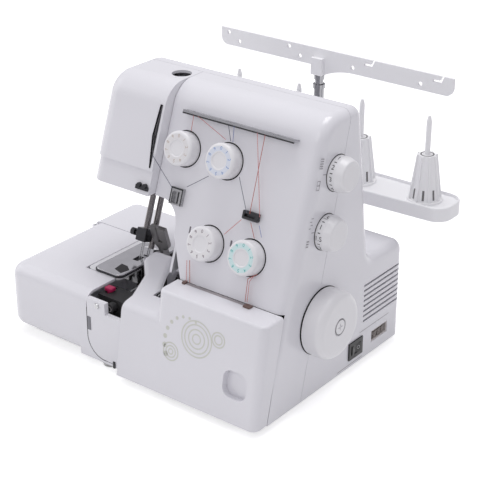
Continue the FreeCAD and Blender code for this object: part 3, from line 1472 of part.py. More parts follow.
def tension_spindles():
    spindles = []
    for x, along in DIALS:
        at = f"{right} - {x}"
        pin = rod("spindle_radius", at, ("-spindle_reach", "wall + spindle_disc"), along, PANEL)
        disc = rod("dial_radius + 2 * dial_ring_gap", at, ("wall", "wall + spindle_disc"), along, PANEL)
        spindles.append(fuse(pin, disc))
    return group(spindles)


def side_dial(y, z):
    body = turned([("0", "-2 * wall"), ("side_dial_stem", "-2 * wall"), ("side_dial_stem", "slip"),
                   ("side_dial_radius", "slip"), ("side_dial_radius", "side_dial_height / 2"),
                   ("side_dial_face", "side_dial_height"), ("0", "side_dial_height")])
    rounded(body, "side_dial_round", lambda edge: close(edge.BoundBox.XLength, "2 * side_dial_face")
            and close(middle(edge).z, "side_dial_height"))
    return along_x(body, right, f"{front} + {y}", z)


def thread_guide_plate():
    x = (f"{right} - guide_plate_left", f"{right} - guide_plate_left + guide_plate_length")
    ledge = box(x, ("-guide_plate_reach", "0"), (guide_plate_level, f"{guide_plate_level} + sheet_steel"), PANEL)
    lip = box(x, ("-guide_plate_reach", "-guide_plate_reach + sheet_steel"),
              (f"{guide_plate_level} - guide_plate_lip", guide_plate_level), PANEL)
    eyes = []
    for dial, _ in DIALS:
        for side in ("-1", "1"):
            eyes.append(rod("sheet_steel", f"{right} - ({dial}) + {side} * 3 * sheet_steel",
                            "-guide_plate_reach / 2",
                            (f"{guide_plate_level} - overshoot", f"{guide_plate_level} + overshoot"), PANEL))
    return cut(fuse(ledge, lip), *eyes)


def needle_thread_guide():
    x = f"({right} - needle_guide_x)"
    frame = box((f"{x} - needle_guide_width / 2", f"{x} + needle_guide_width / 2"), ("-3 * sheet_steel", "0"),
                (needle_guide_level, f"{needle_guide_level} + needle_guide_height"), PANEL)
    slot = box((f"{x} - needle_guide_width / 4", f"{x} + needle_guide_width / 4"),
               ("-overshoot", "-sheet_steel"),
               (f"{needle_guide_level} + sheet_steel",
                f"{needle_guide_level} + needle_guide_height - 3 * sheet_steel"), PANEL)
    return cut(frame, slot)


def looper_thread_guide():
    x = f"({right} - looper_guide_x)"
    block = soft_block((f"{x} - looper_guide_width / 2", f"{x} + looper_guide_width / 2"),
                       ("-looper_guide_depth", "0"),
                       ("looper_guide_level", "looper_guide_level + looper_guide_height"), "sheet_steel", PANEL)
    slot = box((f"{x} - looper_guide_width / 3", f"{x} + looper_guide_width / 3"),
               ("-2 * looper_guide_depth", "-looper_guide_depth / 2"),
               ("looper_guide_level + looper_guide_height / 3", "looper_guide_level + looper_guide_height * 2 / 3"),
               PANEL)
    return cut(block, slot)


def switch_bezel():
    y = (f"{front} + switch_y - switch_width / 2", f"{front} + switch_y + switch_width / 2")
    z = ("switch_z - switch_height / 2", "switch_z + switch_height / 2")
    case = box((f"{right} - switch_body", right), (f"{y[0]} + run_fit", f"{y[1]} - run_fit"),
               (f"{z[0]} + run_fit", f"{z[1]} - run_fit"))
    flange = box((right, f"{right} + switch_rim"), (f"{y[0]} - switch_rim", f"{y[1]} + switch_rim"),
                 (f"{z[0]} - switch_rim", f"{z[1]} + switch_rim"))
    well = side_hole("switch_y", "switch_z", "(rocker_width + 2)", "(rocker_height + 2 * slip)",
                     "(switch_body - switch_rim)")
    pivot = rod("rocker_pin + run_fit", f"{right} - rocker_pin", f"{front} + switch_y",
                ("switch_z - switch_height / 2 + switch_rim", "switch_z + switch_height / 2 - switch_rim"))
    return cut(fuse(case, flange), well, pivot)


def power_rocker():
    body = new_body()
    y = f"({front} + switch_y)"
    half = "rocker_width / 2"
    crest = f"({right} + switch_rim / 2)"
    back = f"({right} - switch_body / 2)"
    plan = [(back, f"{y} - {half} / 2"), (f"{crest} + switch_rim", f"{y} - {half}"), (crest, y),
            (f"{crest} + switch_rim", f"{y} + {half}"), (back, f"{y} + {half} / 2")]
    pad(body, outline(body, "XY_Plane", "switch_z - rocker_height / 2", plan), "rocker_height")
    pin = rod("rocker_pin", f"{right} - rocker_pin", y,
              ("switch_z - rocker_height / 2 - switch_rim", "switch_z + rocker_height / 2 + switch_rim"))
    return fuse(body, pin)


def power_inlet():
    block = side_hole("inlet_y", "inlet_z", "(inlet_width - 2 * run_fit)", "(inlet_height - 2 * run_fit)", "inlet_body")
    trim = box((f"{right} - switch_rim / 2", f"{right} + 2 * overshoot"), (front, box_back), ("0", "bed_height"))
    well = side_hole("inlet_y", "inlet_z", "(inlet_width - wall)", "(inlet_height - wall)", "inlet_hollow")
    pins = [rod("inlet_pin", (f"{right} - inlet_hollow - inlet_pin", f"{right} - switch_rim"),
                f"{front} + inlet_y + {side} * inlet_pin_pitch", "inlet_z") for side in ("-1", "0", "1")]
    return fuse(cut(block, trim, well), *pins)


keep("cutting_width_dial", cutting_width_dial())
keep("stitch_finger_slide", stitch_finger_slide())
for number, spot in enumerate(DIALS, 1):
    keep(f"tension_dial_{number}", tension_dial(*spot))
keep("tension_spindles", tension_spindles())
keep("stitch_length_dial", side_dial("length_dial_y", "length_dial_z"))
keep("differential_dial", side_dial("feed_dial_y", "feed_dial_z"))
keep("thread_guide_plate", thread_guide_plate())
keep("needle_thread_guide", needle_thread_guide())
keep("looper_thread_guide", looper_thread_guide())
keep("switch_bezel", switch_bezel())
keep("power_rocker", power_rocker())
keep("power_inlet", power_inlet())


# Thread stand

SPOOLS = [f"({tray_middle} + {place_number} * spool_pitch / 2)" for place_number in (-3, -1, 1, 3)]
spool_y = f"({tray_back} - spool_setback)"
pole_y = f"({tray_back} - pole_setback)"
spool_floor = f"({tray_top} - tray_recess)"


def stand_bracket():
    body = new_body()
    top = "tray_bottom"
    flange = f"{tray_back} - tray_lip"
    profile = [(box_back, "stand_foot"), (f"{box_back} + stand_thickness", "stand_foot"),
               (f"{box_back} + stand_thickness", f"{top} - 3 * stand_thickness"),
               (flange, f"{top} - stand_thickness"), (flange, top), (box_back, top)]
    pad(body, outline(body, "YZ_Plane", f"{tray_middle} - stand_width / 2", profile), "stand_width")
    reach = "(pole_radius + stand_thickness / 2)"
    collar = box((f"{pole_x} - {reach}", f"{pole_x} + {reach}"), (box_back, f"{pole_y} + {reach}"),
                 ("stand_foot", "stand_foot + pole_collar"))
    way = rod("pole_radius + run_fit", pole_x, pole_y, ("0", tray_top))
    return cut(fuse(body, collar), way)


def spool_tray():
    body = new_body()
    x = (f"({tray_middle} - tray_length / 2)", f"({tray_middle} + tray_length / 2)")
    y0 = f"({tray_back} - tray_depth)"

    def plan(inset):
        flat = "spool_pitch / 2"
        return [(f"{x[0]} + {inset}", f"{y0} + tray_bend + {inset}"), (f"{tray_middle} - {flat}", f"{y0} + {inset}"),
                (f"{tray_middle} + {flat}", f"{y0} + {inset}"), (f"{x[1]} - {inset}", f"{y0} + tray_bend + {inset}"),
                (f"{x[1]} - {inset}", f"{tray_back} - {inset}"), (f"{x[0]} + {inset}", f"{tray_back} - {inset}")]

    pad(body, outline(body, "XY_Plane", "tray_bottom", plan("0")), "tray_height")
    rounded(body, "tray_corner", lambda edge: straight(edge, "z")
            and (close(middle(edge).x, x[0]) or close(middle(edge).x, x[1])))
    rounded(body, "tray_round", lambda edge: close(middle(edge).z, tray_top))
    well = new_body()
    pad(well, outline(well, "XY_Plane", spool_floor, plan("tray_lip")), "tray_recess + overshoot")
    rounded(well, "tray_corner - tray_lip", lambda edge: straight(edge, "z")
            and (close(middle(edge).x, f"{x[0]} + tray_lip") or close(middle(edge).x, f"{x[1]} - tray_lip")))
    hole = rod("pole_radius + run_fit", pole_x, pole_y, ("0", "body_height"))
    return cut(body, well, hole)


def spool_pins():
    pins = []
    for x in SPOOLS:
        pin = turned([("0", "0"), ("spool_shank", "0"), ("spool_shank", "cone_height"), ("spool_radius", "cone_height"),
                      ("spool_radius", "spool_height - 2 * spool_radius"),
                      ("spool_radius / 2", "spool_height"), ("0", "spool_height")])
        pins.append(place(pin, (x, spool_y, spool_floor)))
    return group(pins)


def cone_holders():
    """Ribbed cones that hold the thread, one over each spool pin."""
    cones = []
    for x in SPOOLS:
        body = turned([("spool_shank + slip", "0"), ("cone_base", "0"), ("cone_base", "cone_flange"),
                       ("cone_base - 2 * cone_rib", "cone_flange"), ("cone_top - cone_rib", "cone_height"),
                       ("spool_shank + slip", "cone_height")])
        rib = outline(body, "XZ_Plane", "-cone_rib / 2",
                      [("cone_base - 4 * cone_rib", "cone_flange / 2"), ("cone_base - cone_rib / 2", "cone_flange / 2"),
                       ("cone_top", "cone_height"), ("cone_top - 2 * cone_rib", "cone_height")])
        blade = pad(body, rib, "cone_rib")
        ring = body.newObject("PartDesign::PolarPattern", "Ribs")
        ring.Originals = [blade]
        ring.Axis = (next(item for item in body.Origin.OriginFeatures if item.Role == "Z_Axis"), [""])
        ring.setExpression("Occurrences", bind("cone_rib_count"))
        body.Tip = ring
        cones.append(place(body, (x, spool_y, spool_floor)))
    return group(cones)


middle_radius = "(pole_radius - pole_wall - run_fit)"
inner_radius = f"({middle_radius} - pole_wall - run_fit)"


def tube(radius, bore, low, high):
    """A tube of the pole with a bead round its top."""
    neck = f"({high} - pole_ring_height)"
    body = turned([(bore, low), (radius, low), (radius, neck), (f"{radius} + pole_ring", neck),
                   (f"{radius} + pole_ring", high), (bore, high)])
    return place(body, (pole_x, pole_y, "0"))


def thread_bar():
    body = new_body()
    bar_middle = f"{pole_x} + thread_bar_shift"
    x = (f"({bar_middle} - thread_bar_length / 2)", f"({bar_middle} + thread_bar_length / 2)")
    z0 = "(thread_bar_top - thread_bar_height)"
    face = [(x[0], z0), (x[1], z0), (x[1], "thread_bar_top"), (x[0], "thread_bar_top")]
    pad(body, outline(body, "XZ_Plane", f"-({pole_y} + thread_bar_thickness / 2)", face), "thread_bar_thickness")
    rounded(body, "thread_bar_corner", lambda edge: straight(edge, "y") and close(middle(edge).z, z0))
    hole_y = (f"{pole_y} - overshoot", f"{pole_y} + overshoot")
    hub_x = (f"({pole_x} - thread_bar_hub / 2)", f"({pole_x} + thread_bar_hub / 2)")
    hub = box(hub_x, (f"{pole_y} - thread_bar_hub / 2", f"{pole_y} + thread_bar_hub / 2"),
              (f"{z0} - thread_bar_neck", f"{z0} + thread_bar_height / 2"))
    thick = (f"{pole_y} - thread_bar_thickness / 2", f"{pole_y} + thread_bar_thickness / 2")
    web_end = f"{hub_x[1]} + thread_bar_web"
    web = box((hub_x[1], web_end), thick, (f"{z0} - thread_bar_neck", z0))
    bow = "((thread_bar_web * thread_bar_web / thread_bar_neck + thread_bar_neck) / 2)"
    web_curve = rod(bow, web_end, hole_y, f"{z0} - {bow}")
    bore = rod(f"{inner_radius}", pole_x, pole_y, ("0", "pole_inner_top"))
    upper_z = "(thread_bar_top - thread_bar_height / 4)"
    lower_z = f"({z0} + thread_bar_height / 3)"
    holes = []
    for spool in SPOOLS[:2]:
        holes.append(rod("thread_hole", f"{spool} - thread_bar_height / 2", hole_y, upper_z))
        holes.append(rod("thread_hole", f"{spool} + thread_bar_height / 4", hole_y, lower_z))
    for spool in SPOOLS[2:]:
        holes.append(rod("thread_hole", f"{spool} - thread_bar_height / 2", hole_y, lower_z))
        slot_x = f"({spool} + thread_bar_height / 4)"
        mouth_x = f"({slot_x} + thread_bar_height / 2)"
        hook = new_body()
        notch = [(slot_x, f"{upper_z} - hook_slot"), (mouth_x, f"{upper_z} - hook_slot"),
                 (f"{mouth_x} + 2 * hook_slot", "thread_bar_top + overshoot"),
                 (f"{mouth_x} + hook_slot", "thread_bar_top + overshoot"),
                 (f"{mouth_x} - hook_slot / 2", upper_z), (slot_x, upper_z)]
        pad(hook, outline(hook, "XZ_Plane", f"-({pole_y} + overshoot)", notch), "2 * overshoot")
        holes.append(hook)
    return cut(fuse(body, hub, cut(web, web_curve)), bore, *holes)


keep("stand_bracket", stand_bracket())
keep("spool_tray", spool_tray())
keep("spool_pins", spool_pins())
keep("cone_holders", cone_holders())
keep("antenna_outer", tube("pole_radius", f"{middle_radius} + run_fit", "stand_foot", "pole_outer_top"))
keep("antenna_middle", tube(middle_radius, f"{inner_radius} + run_fit", "pole_middle_low", "pole_middle_top"))
keep("antenna_inner", rod(inner_radius, pole_x, pole_y, ("pole_inner_low", "pole_inner_top")))
keep("thread_bar", thread_bar())


# Check every object, then write each sub-part to its own file

doc.recompute()
for item in doc.Objects:
    if "Invalid" in item.State or "Error" in item.State:
        raise ValueError(f"{item.Label} failed: {item.State}")
for label, piece in nodes.items():
    if piece.Shape.isNull() or not piece.Shape.isValid():
        raise ValueError(f"{label} has no valid shape")
os.makedirs("parts", exist_ok=True)
for label, piece in nodes.items():
    piece.Shape.exportStep(f"parts/{label}.step")
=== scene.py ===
"""Looks of the serger: finishes for every piece, printed marks, threads and a plain studio."""
import bmesh
import bpy
import math
from mathutils import Euler, Matrix, Vector


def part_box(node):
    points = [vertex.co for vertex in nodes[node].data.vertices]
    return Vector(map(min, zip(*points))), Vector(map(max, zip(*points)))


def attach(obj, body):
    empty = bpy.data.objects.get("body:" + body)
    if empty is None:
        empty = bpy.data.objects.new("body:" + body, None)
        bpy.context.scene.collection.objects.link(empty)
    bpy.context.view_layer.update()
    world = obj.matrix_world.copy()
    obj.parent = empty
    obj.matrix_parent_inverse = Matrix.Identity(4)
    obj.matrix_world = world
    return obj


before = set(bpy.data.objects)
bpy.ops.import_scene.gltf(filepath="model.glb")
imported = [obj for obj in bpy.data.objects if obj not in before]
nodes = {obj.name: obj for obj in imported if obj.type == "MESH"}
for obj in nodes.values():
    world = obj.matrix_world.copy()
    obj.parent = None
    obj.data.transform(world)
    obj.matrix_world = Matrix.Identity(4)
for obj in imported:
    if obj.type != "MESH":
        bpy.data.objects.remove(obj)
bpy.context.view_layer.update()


# Places on the machine, given in millimetres and turned into metres

MM = 0.001
ACROSS = Vector((1, 0, 0))
AWAY = Vector((0, 1, 0))
UP = Vector((0, 0, 1))
RIGHT_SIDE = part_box("rear_housing")[1].x
FRONT = -135 * MM
PANEL_FOOT = Vector((0, -93 * MM, 105 * MM))
PANEL_LEAN = 19.8
COVER_TOE = Vector((0, FRONT, 7 * MM))
COVER_LEAN = 8.7
SIGN_LEAN = 14.8
PROUD = 0.06        # how far a print or a patch of painted shade stands off its face
GAP_SHADE_PROUD = 0.08    # and a patch of painted shade that darkens a gap


def leaning(degrees):
    """Directions up and out of a face that leans back from upright."""
    lean = math.radians(degrees)
    return Vector((0, math.sin(lean), math.cos(lean))), Vector((0, -math.cos(lean), math.sin(lean)))


PANEL_UP, PANEL_OUT = leaning(PANEL_LEAN)
COVER_UP, COVER_OUT = leaning(COVER_LEAN)
SIGN_UP, sign_front = leaning(SIGN_LEAN)
SIGN_ACROSS = -sign_front


def at(x, y, z):
    """A point from the machine's right side, its front and the floor."""
    return Vector((RIGHT_SIDE + x * MM, FRONT + y * MM, z * MM))


def on_panel(x, along, out):
    """A point on the dial panel, from the right side, up the slope and out of it."""
    return PANEL_FOOT + ACROSS * (RIGHT_SIDE + x * MM) + PANEL_UP * (along * MM) + PANEL_OUT * (out * MM)


def on_cover(x, along, out):
    """A point on the front cover, from the right side, up the slope and out of it."""
    return COVER_TOE + ACROSS * (RIGHT_SIDE + x * MM) + COVER_UP * (along * MM) + COVER_OUT * (out * MM)


def facing(origin, right, up):
    """A frame whose X runs right and whose Y runs up, so that flat marks face the viewer."""
    right = right.normalized()
    up = up.normalized()
    out = right.cross(up)
    turn = Matrix((right, up, out)).transposed().to_4x4()
    return Matrix.Translation(origin) @ turn


def panel_mark(x, along, out):
    """A frame that lies on the dial panel."""
    return facing(on_panel(x, along, out), ACROSS, PANEL_UP)


def cover_mark(x, along):
    """A frame that lies on the front cover."""
    return facing(on_cover(x, along, PROUD), ACROSS, COVER_UP)


def side_mark(out, y, z):
    """An upright frame on the right side."""
    return facing(at(out, y, z), AWAY, UP)


def front_mark(x, y, z):
    """An upright frame that faces the front."""
    return facing(at(x, y, z), ACROSS, UP)


def top_mark(x, y, z):
    """A level frame that faces up."""
    return facing(at(x, y, z), ACROSS, AWAY)


# Finishes

def finish_of(name):
    """A new material with its node tree and its shader."""
    material = bpy.data.materials.new(name)
    material.use_nodes = True
    tree = material.node_tree
    return material, tree, tree.nodes["Principled BSDF"]


def grey(value):
    return (value, value, value)


def tint(colour, factor):
    return tuple(min(1.0, channel * factor) for channel in colour)


def ramp_between(tree, low, high):
    """A colour ramp from one colour to another."""
    ramp = tree.nodes.new("ShaderNodeValToRGB")
    ramp.color_ramp.elements[0].color = (*low, 1)
    ramp.color_ramp.elements[1].color = (*high, 1)
    return ramp


def speckle(tree, scale, detail, low, high, spread=(0.35, 0.65)):
    """Noise on the piece's own coordinates, ramped between two greys or colours."""
    place = tree.nodes.new("ShaderNodeTexCoord")
    noise = tree.nodes.new("ShaderNodeTexNoise")
    noise.inputs["Scale"].default_value = scale
    noise.inputs["Detail"].default_value = detail
    ramp = ramp_between(tree, low, high)
    ramp.color_ramp.elements[0].position = spread[0]
    ramp.color_ramp.elements[1].position = spread[1]
    tree.links.new(place.outputs["Object"], noise.inputs["Vector"])
    tree.links.new(noise.outputs["Fac"], ramp.inputs["Fac"])
    return noise, ramp


def colour_in(tree, shader, colour, scale, detail, dark, light):
    """A base colour that wavers between a darker and a lighter tone."""
    _, ramp = speckle(tree, scale, detail, tint(colour, dark), tint(colour, light))
    tree.links.new(ramp.outputs["Color"], shader.inputs["Base Color"])


def roughen(tree, shader, rough, scale):
    """A roughness that wavers between two values."""
    _, ramp = speckle(tree, scale, detail=3, low=grey(rough[0]), high=grey(rough[1]))
    tree.links.new(ramp.outputs["Color"], shader.inputs["Roughness"])


def dimple(tree, shader, scale, strength, distance):
    """A fine moulded or cast texture in the surface normal."""
    noise, _ = speckle(tree, scale, detail=2, low=grey(0), high=grey(1))
    bump = tree.nodes.new("ShaderNodeBump")
    bump.inputs["Strength"].default_value = strength
    bump.inputs["Distance"].default_value = distance
    tree.links.new(noise.outputs["Fac"], bump.inputs["Height"])
    tree.links.new(bump.outputs["Normal"], shader.inputs["Normal"])


def moulded(name, colour, rough=(0.3, 0.4), texture=0.05):
    """Injection-moulded plastic with faint flow tone and a fine spark-eroded skin."""
    material, tree, shader = finish_of(name)
    colour_in(tree, shader, colour, scale=9, detail=4, dark=0.975, light=1.01)
    roughen(tree, shader, rough, scale=14)
    dimple(tree, shader, scale=900, strength=texture, distance=0.00004)
    return material


def brushed(name, colour, rough=(0.2, 0.36)):
    """Metal with drawn lines: noise squeezed along the drawing direction."""
    squeeze = (1, 1, 40)
    material, tree, shader = finish_of(name)
    shader.inputs["Metallic"].default_value = 1
    place = tree.nodes.new("ShaderNodeTexCoord")
    mapping = tree.nodes.new("ShaderNodeMapping")
    mapping.inputs["Scale"].default_value = squeeze
    noise = tree.nodes.new("ShaderNodeTexNoise")
    noise.inputs["Scale"].default_value = 60
    noise.inputs["Detail"].default_value = 6
    tone = ramp_between(tree, low=tint(colour, 0.8), high=tint(colour, 1.1))
    skin = ramp_between(tree, low=grey(rough[0]), high=grey(rough[1]))
    tree.links.new(place.outputs["Object"], mapping.inputs["Vector"])
    tree.links.new(mapping.outputs["Vector"], noise.inputs["Vector"])
    for ramp, socket in ((tone, "Base Color"), (skin, "Roughness")):
        tree.links.new(noise.outputs["Fac"], ramp.inputs["Fac"])
        tree.links.new(ramp.outputs["Color"], shader.inputs[socket])
    return material


def polished(name, colour):
    """Chrome with a faint haze."""
    material, tree, shader = finish_of(name)
    shader.inputs["Metallic"].default_value = 1
    colour_in(tree, shader, colour, scale=40, detail=3, dark=0.93, light=1.03)
    roughen(tree, shader, rough=(0.06, 0.14), scale=220)
    return material


def rubbery(name, colour):
    """Dull rubber with a coarse skin."""
    material, tree, shader = finish_of(name)
    colour_in(tree, shader, colour, scale=120, detail=3, dark=0.8, light=1.3)
    roughen(tree, shader, rough=(0.7, 0.85), scale=300)
    dimple(tree, shader, scale=1800, strength=0.2, distance=0.0003)
    return material


def ink(name, colour, fade=0.85):
    """Flat matte colour, slightly uneven: printed ink, and painted shade where a piece stands for shade."""
    material, tree, shader = finish_of(name)
    colour_in(tree, shader, colour, scale=700, detail=2, dark=1, light=fade)
    shader.inputs["Roughness"].default_value = 0.45
    return material


def spun(name, colour):
    """Twisted sewing thread: fine slanted bands along its length."""
    material, tree, shader = finish_of(name)
    place = tree.nodes.new("ShaderNodeTexCoord")
    twist = tree.nodes.new("ShaderNodeTexWave")
    twist.bands_direction = "DIAGONAL"
    twist.inputs["Scale"].default_value = 300
    tone = ramp_between(tree, low=tint(colour, 0.7), high=colour)
    tree.links.new(place.outputs["Object"], twist.inputs["Vector"])
    tree.links.new(twist.outputs["Fac"], tone.inputs["Fac"])
    tree.links.new(tone.outputs["Color"], shader.inputs["Base Color"])
    shader.inputs["Roughness"].default_value = 0.7
    return material


shell_white = moulded("shell_white", (0.80, 0.795, 0.83), rough=(0.15, 0.22))
dial_white = moulded("dial_white", (0.84, 0.835, 0.85), rough=(0.28, 0.36), texture=0.03)
stand_white = moulded("stand_white", (0.93, 0.93, 0.945), rough=(0.34, 0.44))
pin_white = moulded("pin_white", (0.95, 0.95, 0.96))
plate_satin = moulded("plate_satin", (0.80, 0.80, 0.82), rough=(0.2, 0.3), texture=0.02)
guide_grey = moulded("guide_grey", (0.42, 0.42, 0.44), rough=(0.4, 0.5))
knob_grey = moulded("knob_grey", (0.30, 0.30, 0.32), rough=(0.4, 0.5))
knob_black = moulded("knob_black", (0.022, 0.021, 0.022), rough=(0.4, 0.5))
lever_black = moulded("lever_black", (0.025, 0.023, 0.025), rough=(0.35, 0.5))
switch_black = moulded("switch_black", (0.012, 0.012, 0.013), rough=(0.3, 0.42))
motor_black = moulded("motor_black", (0.03, 0.03, 0.032), rough=(0.4, 0.55))
bracket_black = moulded("bracket_black", (0.02, 0.019, 0.02), rough=(0.45, 0.6), texture=0.2)
cast_grey = moulded("cast_grey", (0.075, 0.07, 0.07), rough=(0.5, 0.65), texture=0.3)
latch_grey = moulded("latch_grey", (0.20, 0.20, 0.22), rough=(0.4, 0.5))
catch_black = moulded("catch_black", (0.02, 0.02, 0.022), rough=(0.4, 0.5))
clip_brown = moulded("clip_brown", (0.16, 0.10, 0.085), rough=(0.4, 0.5))
marker_red = moulded("marker_red", (0.44, 0.014, 0.09), rough=(0.25, 0.35))
socket_beige = moulded("socket_beige", (0.60, 0.56, 0.54), rough=(0.45, 0.55))
drawn_steel = brushed("drawn_steel", (0.50, 0.50, 0.51))
guide_steel = brushed("guide_steel", (0.50, 0.50, 0.52))
bar_steel = brushed("bar_steel", (0.24, 0.225, 0.225), rough=(0.16, 0.3))
knife_steel = brushed("knife_steel", (0.30, 0.29, 0.29), rough=(0.34, 0.5))
dark_steel = brushed("dark_steel", (0.07, 0.07, 0.075), rough=(0.3, 0.45))
bearing_bronze = brushed("bearing_bronze", (0.45, 0.30, 0.13))
foot_chrome = polished("foot_chrome", (0.66, 0.66, 0.68))
pole_chrome = polished("pole_chrome", (0.34, 0.34, 0.355))
foot_rubber = rubbery("foot_rubber", (0.62, 0.62, 0.61))
belt_rubber = rubbery("belt_rubber", (0.02, 0.02, 0.02))
# Flat black for painted shade under the guide plate's edge, round the needle guide and in the take-up slot
painted_shade_black = ink("painted_shade_black", (0.02, 0.02, 0.023))

FINISHED_PIECES = (
    (shell_white, ("base_pan", "front_housing", "rear_housing", "face_cover", "bed_rear")),
    (shell_white, ("side_cover", "front_cover", "stand_bracket")),
    (dial_white, ("handwheel", "handwheel_screw", "stitch_length_dial", "differential_dial")),
    (dial_white, ("tension_dial_1", "tension_dial_2", "tension_dial_3", "tension_dial_4")),
    (stand_white, ("spool_tray", "thread_bar")),
    (pin_white, ("spool_pins", "cone_holders")),
    (plate_satin, ("needle_plate",)),
    (guide_grey, ("presser_lever",)),
    (knob_grey, ("pressure_dial",)),
    (knob_black, ("cutting_width_dial",)),
    (lever_black, ("take_up_lever",)),
    (switch_black, ("switch_bezel", "power_rocker")),
    (motor_black, ("motor", "tension_spindles")),
    (bracket_black, ("front_bracket",)),
    (cast_grey, ("machine_frame", "shaft_pulley", "motor_pulley")),
    (marker_red, ("stitch_finger_slide",)),
    (socket_beige, ("power_inlet",)),
    (drawn_steel, ("side_cover_pin", "front_cover_shaft", "main_shaft", "needles")),
    (drawn_steel, ("lower_knife", "feed_dogs", "needle_thread_guide")),
    (guide_steel, ("thread_guide_plate",)),
    (bar_steel, ("needle_bar", "presser_bar")),
    (knife_steel, ("upper_knife",)),
    (dark_steel, ("needle_clamp", "looper_thread_guide")),
    (bearing_bronze, ("shaft_bushes",)),
    (foot_chrome, ("presser_foot", "lower_looper", "upper_looper")),
    (pole_chrome, ("antenna_outer", "antenna_middle", "antenna_inner")),
    (foot_rubber, ("rubber_feet",)),
    (belt_rubber, ("drive_belt",)),
)
for finish, names in FINISHED_PIECES:
    for name in names:
        nodes[name].data.materials.clear()
        nodes[name].data.materials.append(finish)


# Building new pieces, with sizes in millimetres

def piece(name, made, finish, body):
    """Turns a bmesh into an object that rides on a body."""
    mesh = bpy.data.meshes.new(name)
    made.to_mesh(mesh)
    made.free()
    mesh.materials.append(finish)
    item = bpy.data.objects.new(name, mesh)
    bpy.context.scene.collection.objects.link(item)
    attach(item, body)


def lettering(text, size):
    """One short text as a flat mesh, centred on its own origin."""
    curve = bpy.data.curves.new("mark", "FONT")
    curve.body = text
    curve.size = size * MM
    curve.align_x = "CENTER"
    curve.align_y = "CENTER"
    curve.resolution_u = 4
    holder = bpy.data.objects.new("mark", curve)
    bpy.context.scene.collection.objects.link(holder)
    bpy.context.view_layer.update()
    mesh = bpy.data.meshes.new_from_object(holder.evaluated_get(bpy.context.evaluated_depsgraph_get()))
    bpy.data.objects.remove(holder)
    bpy.data.curves.remove(curve)
    return mesh


def stamp(made, where, text, size):
    """A short printed text."""
    mesh = lettering(text, size)
    mesh.transform(where)
    made.from_mesh(mesh)
    bpy.data.meshes.remove(mesh)


def dash(made, where, width, height):
    """A flat stroke, for print and for painted shade."""
    bmesh.ops.create_grid(made, x_segments=1, y_segments=1, size=0.5,
                          matrix=where @ Matrix.Diagonal((width * MM, height * MM, 1, 1)))


def ring(made, where, radius, width, segments=48):
    """A flat ring, for print and for painted shade."""
    middle = radius * MM
    half = width * MM / 2
    inner = bmesh.ops.create_circle(made, segments=segments, radius=middle - half, matrix=where)["verts"]
    outer = bmesh.ops.create_circle(made, segments=segments, radius=middle + half, matrix=where)["verts"]
    edges = {edge for vert in inner + outer for edge in vert.link_edges}
    bmesh.ops.bridge_loops(made, edges=list(edges))


def stud(made, where, foot, head, height, segments):
    """A short cone that stands on a face."""
    bmesh.ops.create_cone(made, cap_ends=True, segments=segments, radius1=foot * MM, radius2=head * MM,
                          depth=height * MM, matrix=where)


def cuboid(made, low, high):
    """A plain box between two corners, with its vertices and its span."""
    span = high - low
    where = Matrix.Translation((low + high) / 2) @ Matrix.Diagonal((*span, 1))
    return bmesh.ops.create_cube(made, size=1, matrix=where)["verts"], span


def soften(made, edges, offset, segments):
    """Rounds some edges of a box."""
    bmesh.ops.bevel(made, geom=edges, offset=offset, offset_type="OFFSET", affect="EDGES", segments=segments,
                    profile=0.5, material=-1)


def block(made, low, high):
    """A small box between two corners, with softened edges."""
    softness = 0.18
    verts, span = cuboid(made, low, high)
    edges = list({edge for vert in verts for edge in vert.link_edges})
    soften(made, edges, min(span) * softness, segments=2)


def plate(made, low, high, corner):
    """A flat plate between two points, with rounded corners."""
    verts, span = cuboid(made, low, high)
    uprights = [edge for edge in {edge for vert in verts for edge in vert.link_edges}
                if abs((edge.verts[0].co - edge.verts[1].co).z) > span.z / 2]
    soften(made, uprights, corner * MM, segments=6)


# Numbers on the tension dials, their trim rings, and index marks beside the lower pair

DIAL_FACE = 14.05
UPPER_DIALS = 116.2
LOWER_DIALS = 40
DIGIT_RING = 11.4
DIGIT_SIZE = 4.4
DIGIT_STEP = 36
DIGIT_TOP = 90
WASH_SUNK = 0.03
TRIM_PROUD = 0.05
TENSION_DIALS = {
    "dial_1": dict(x=-142, along=UPPER_DIALS, digits=(0.56, 0.46, 0.38), wash=(0.80, 0.785, 0.79)),
    "dial_2": dict(x=-93.5, along=UPPER_DIALS, digits=(0.20, 0.34, 0.66), wash=(0.74, 0.78, 0.87)),
    "dial_3": dict(x=-95, along=LOWER_DIALS, digits=(0.16, 0.10, 0.14), wash=(0.84, 0.83, 0.84)),
    "dial_4": dict(x=-48.5, along=LOWER_DIALS, digits=(0.03, 0.50, 0.48), wash=(0.66, 0.84, 0.84)),
}
for body, dial in TENSION_DIALS.items():
    made = bmesh.new()
    for digit in range(10):
        angle = math.radians(DIGIT_TOP - DIGIT_STEP * digit)
        x = dial["x"] + DIGIT_RING * math.cos(angle)
        along = dial["along"] + DIGIT_RING * math.sin(angle)
        upright = ACROSS * math.cos(angle) + PANEL_UP * math.sin(angle)
        where = facing(on_panel(x, along, DIAL_FACE), upright.cross(PANEL_OUT), upright)
        stamp(made, where, str(digit), DIGIT_SIZE)
    piece(f"{body}_digits", made, ink(f"{body}_ink", dial["digits"]), body)
    made = bmesh.new()
    ring(made, panel_mark(dial["x"], dial["along"], DIAL_FACE - WASH_SUNK), radius=10.8, width=4.4)
    piece(f"{body}_wash", made, ink(f"{body}_wash", dial["wash"], fade=0.97), body)

made = bmesh.new()
for dial in TENSION_DIALS.values():
    ring(made, panel_mark(dial["x"], dial["along"], TRIM_PROUD), radius=17.9, width=1.5, segments=96)
piece("dial_trim_rings", made, shell_white, "machine")
made = bmesh.new()
dash(made, panel_mark(x=-118.8, along=46.3, out=PROUD), width=1.7, height=6.5)
dash(made, panel_mark(x=-71.4, along=46.6, out=PROUD), width=1.9, height=5.5)
piece("dial_index_marks", made, ink("index_ink", (0.16, 0.15, 0.17)), "machine")
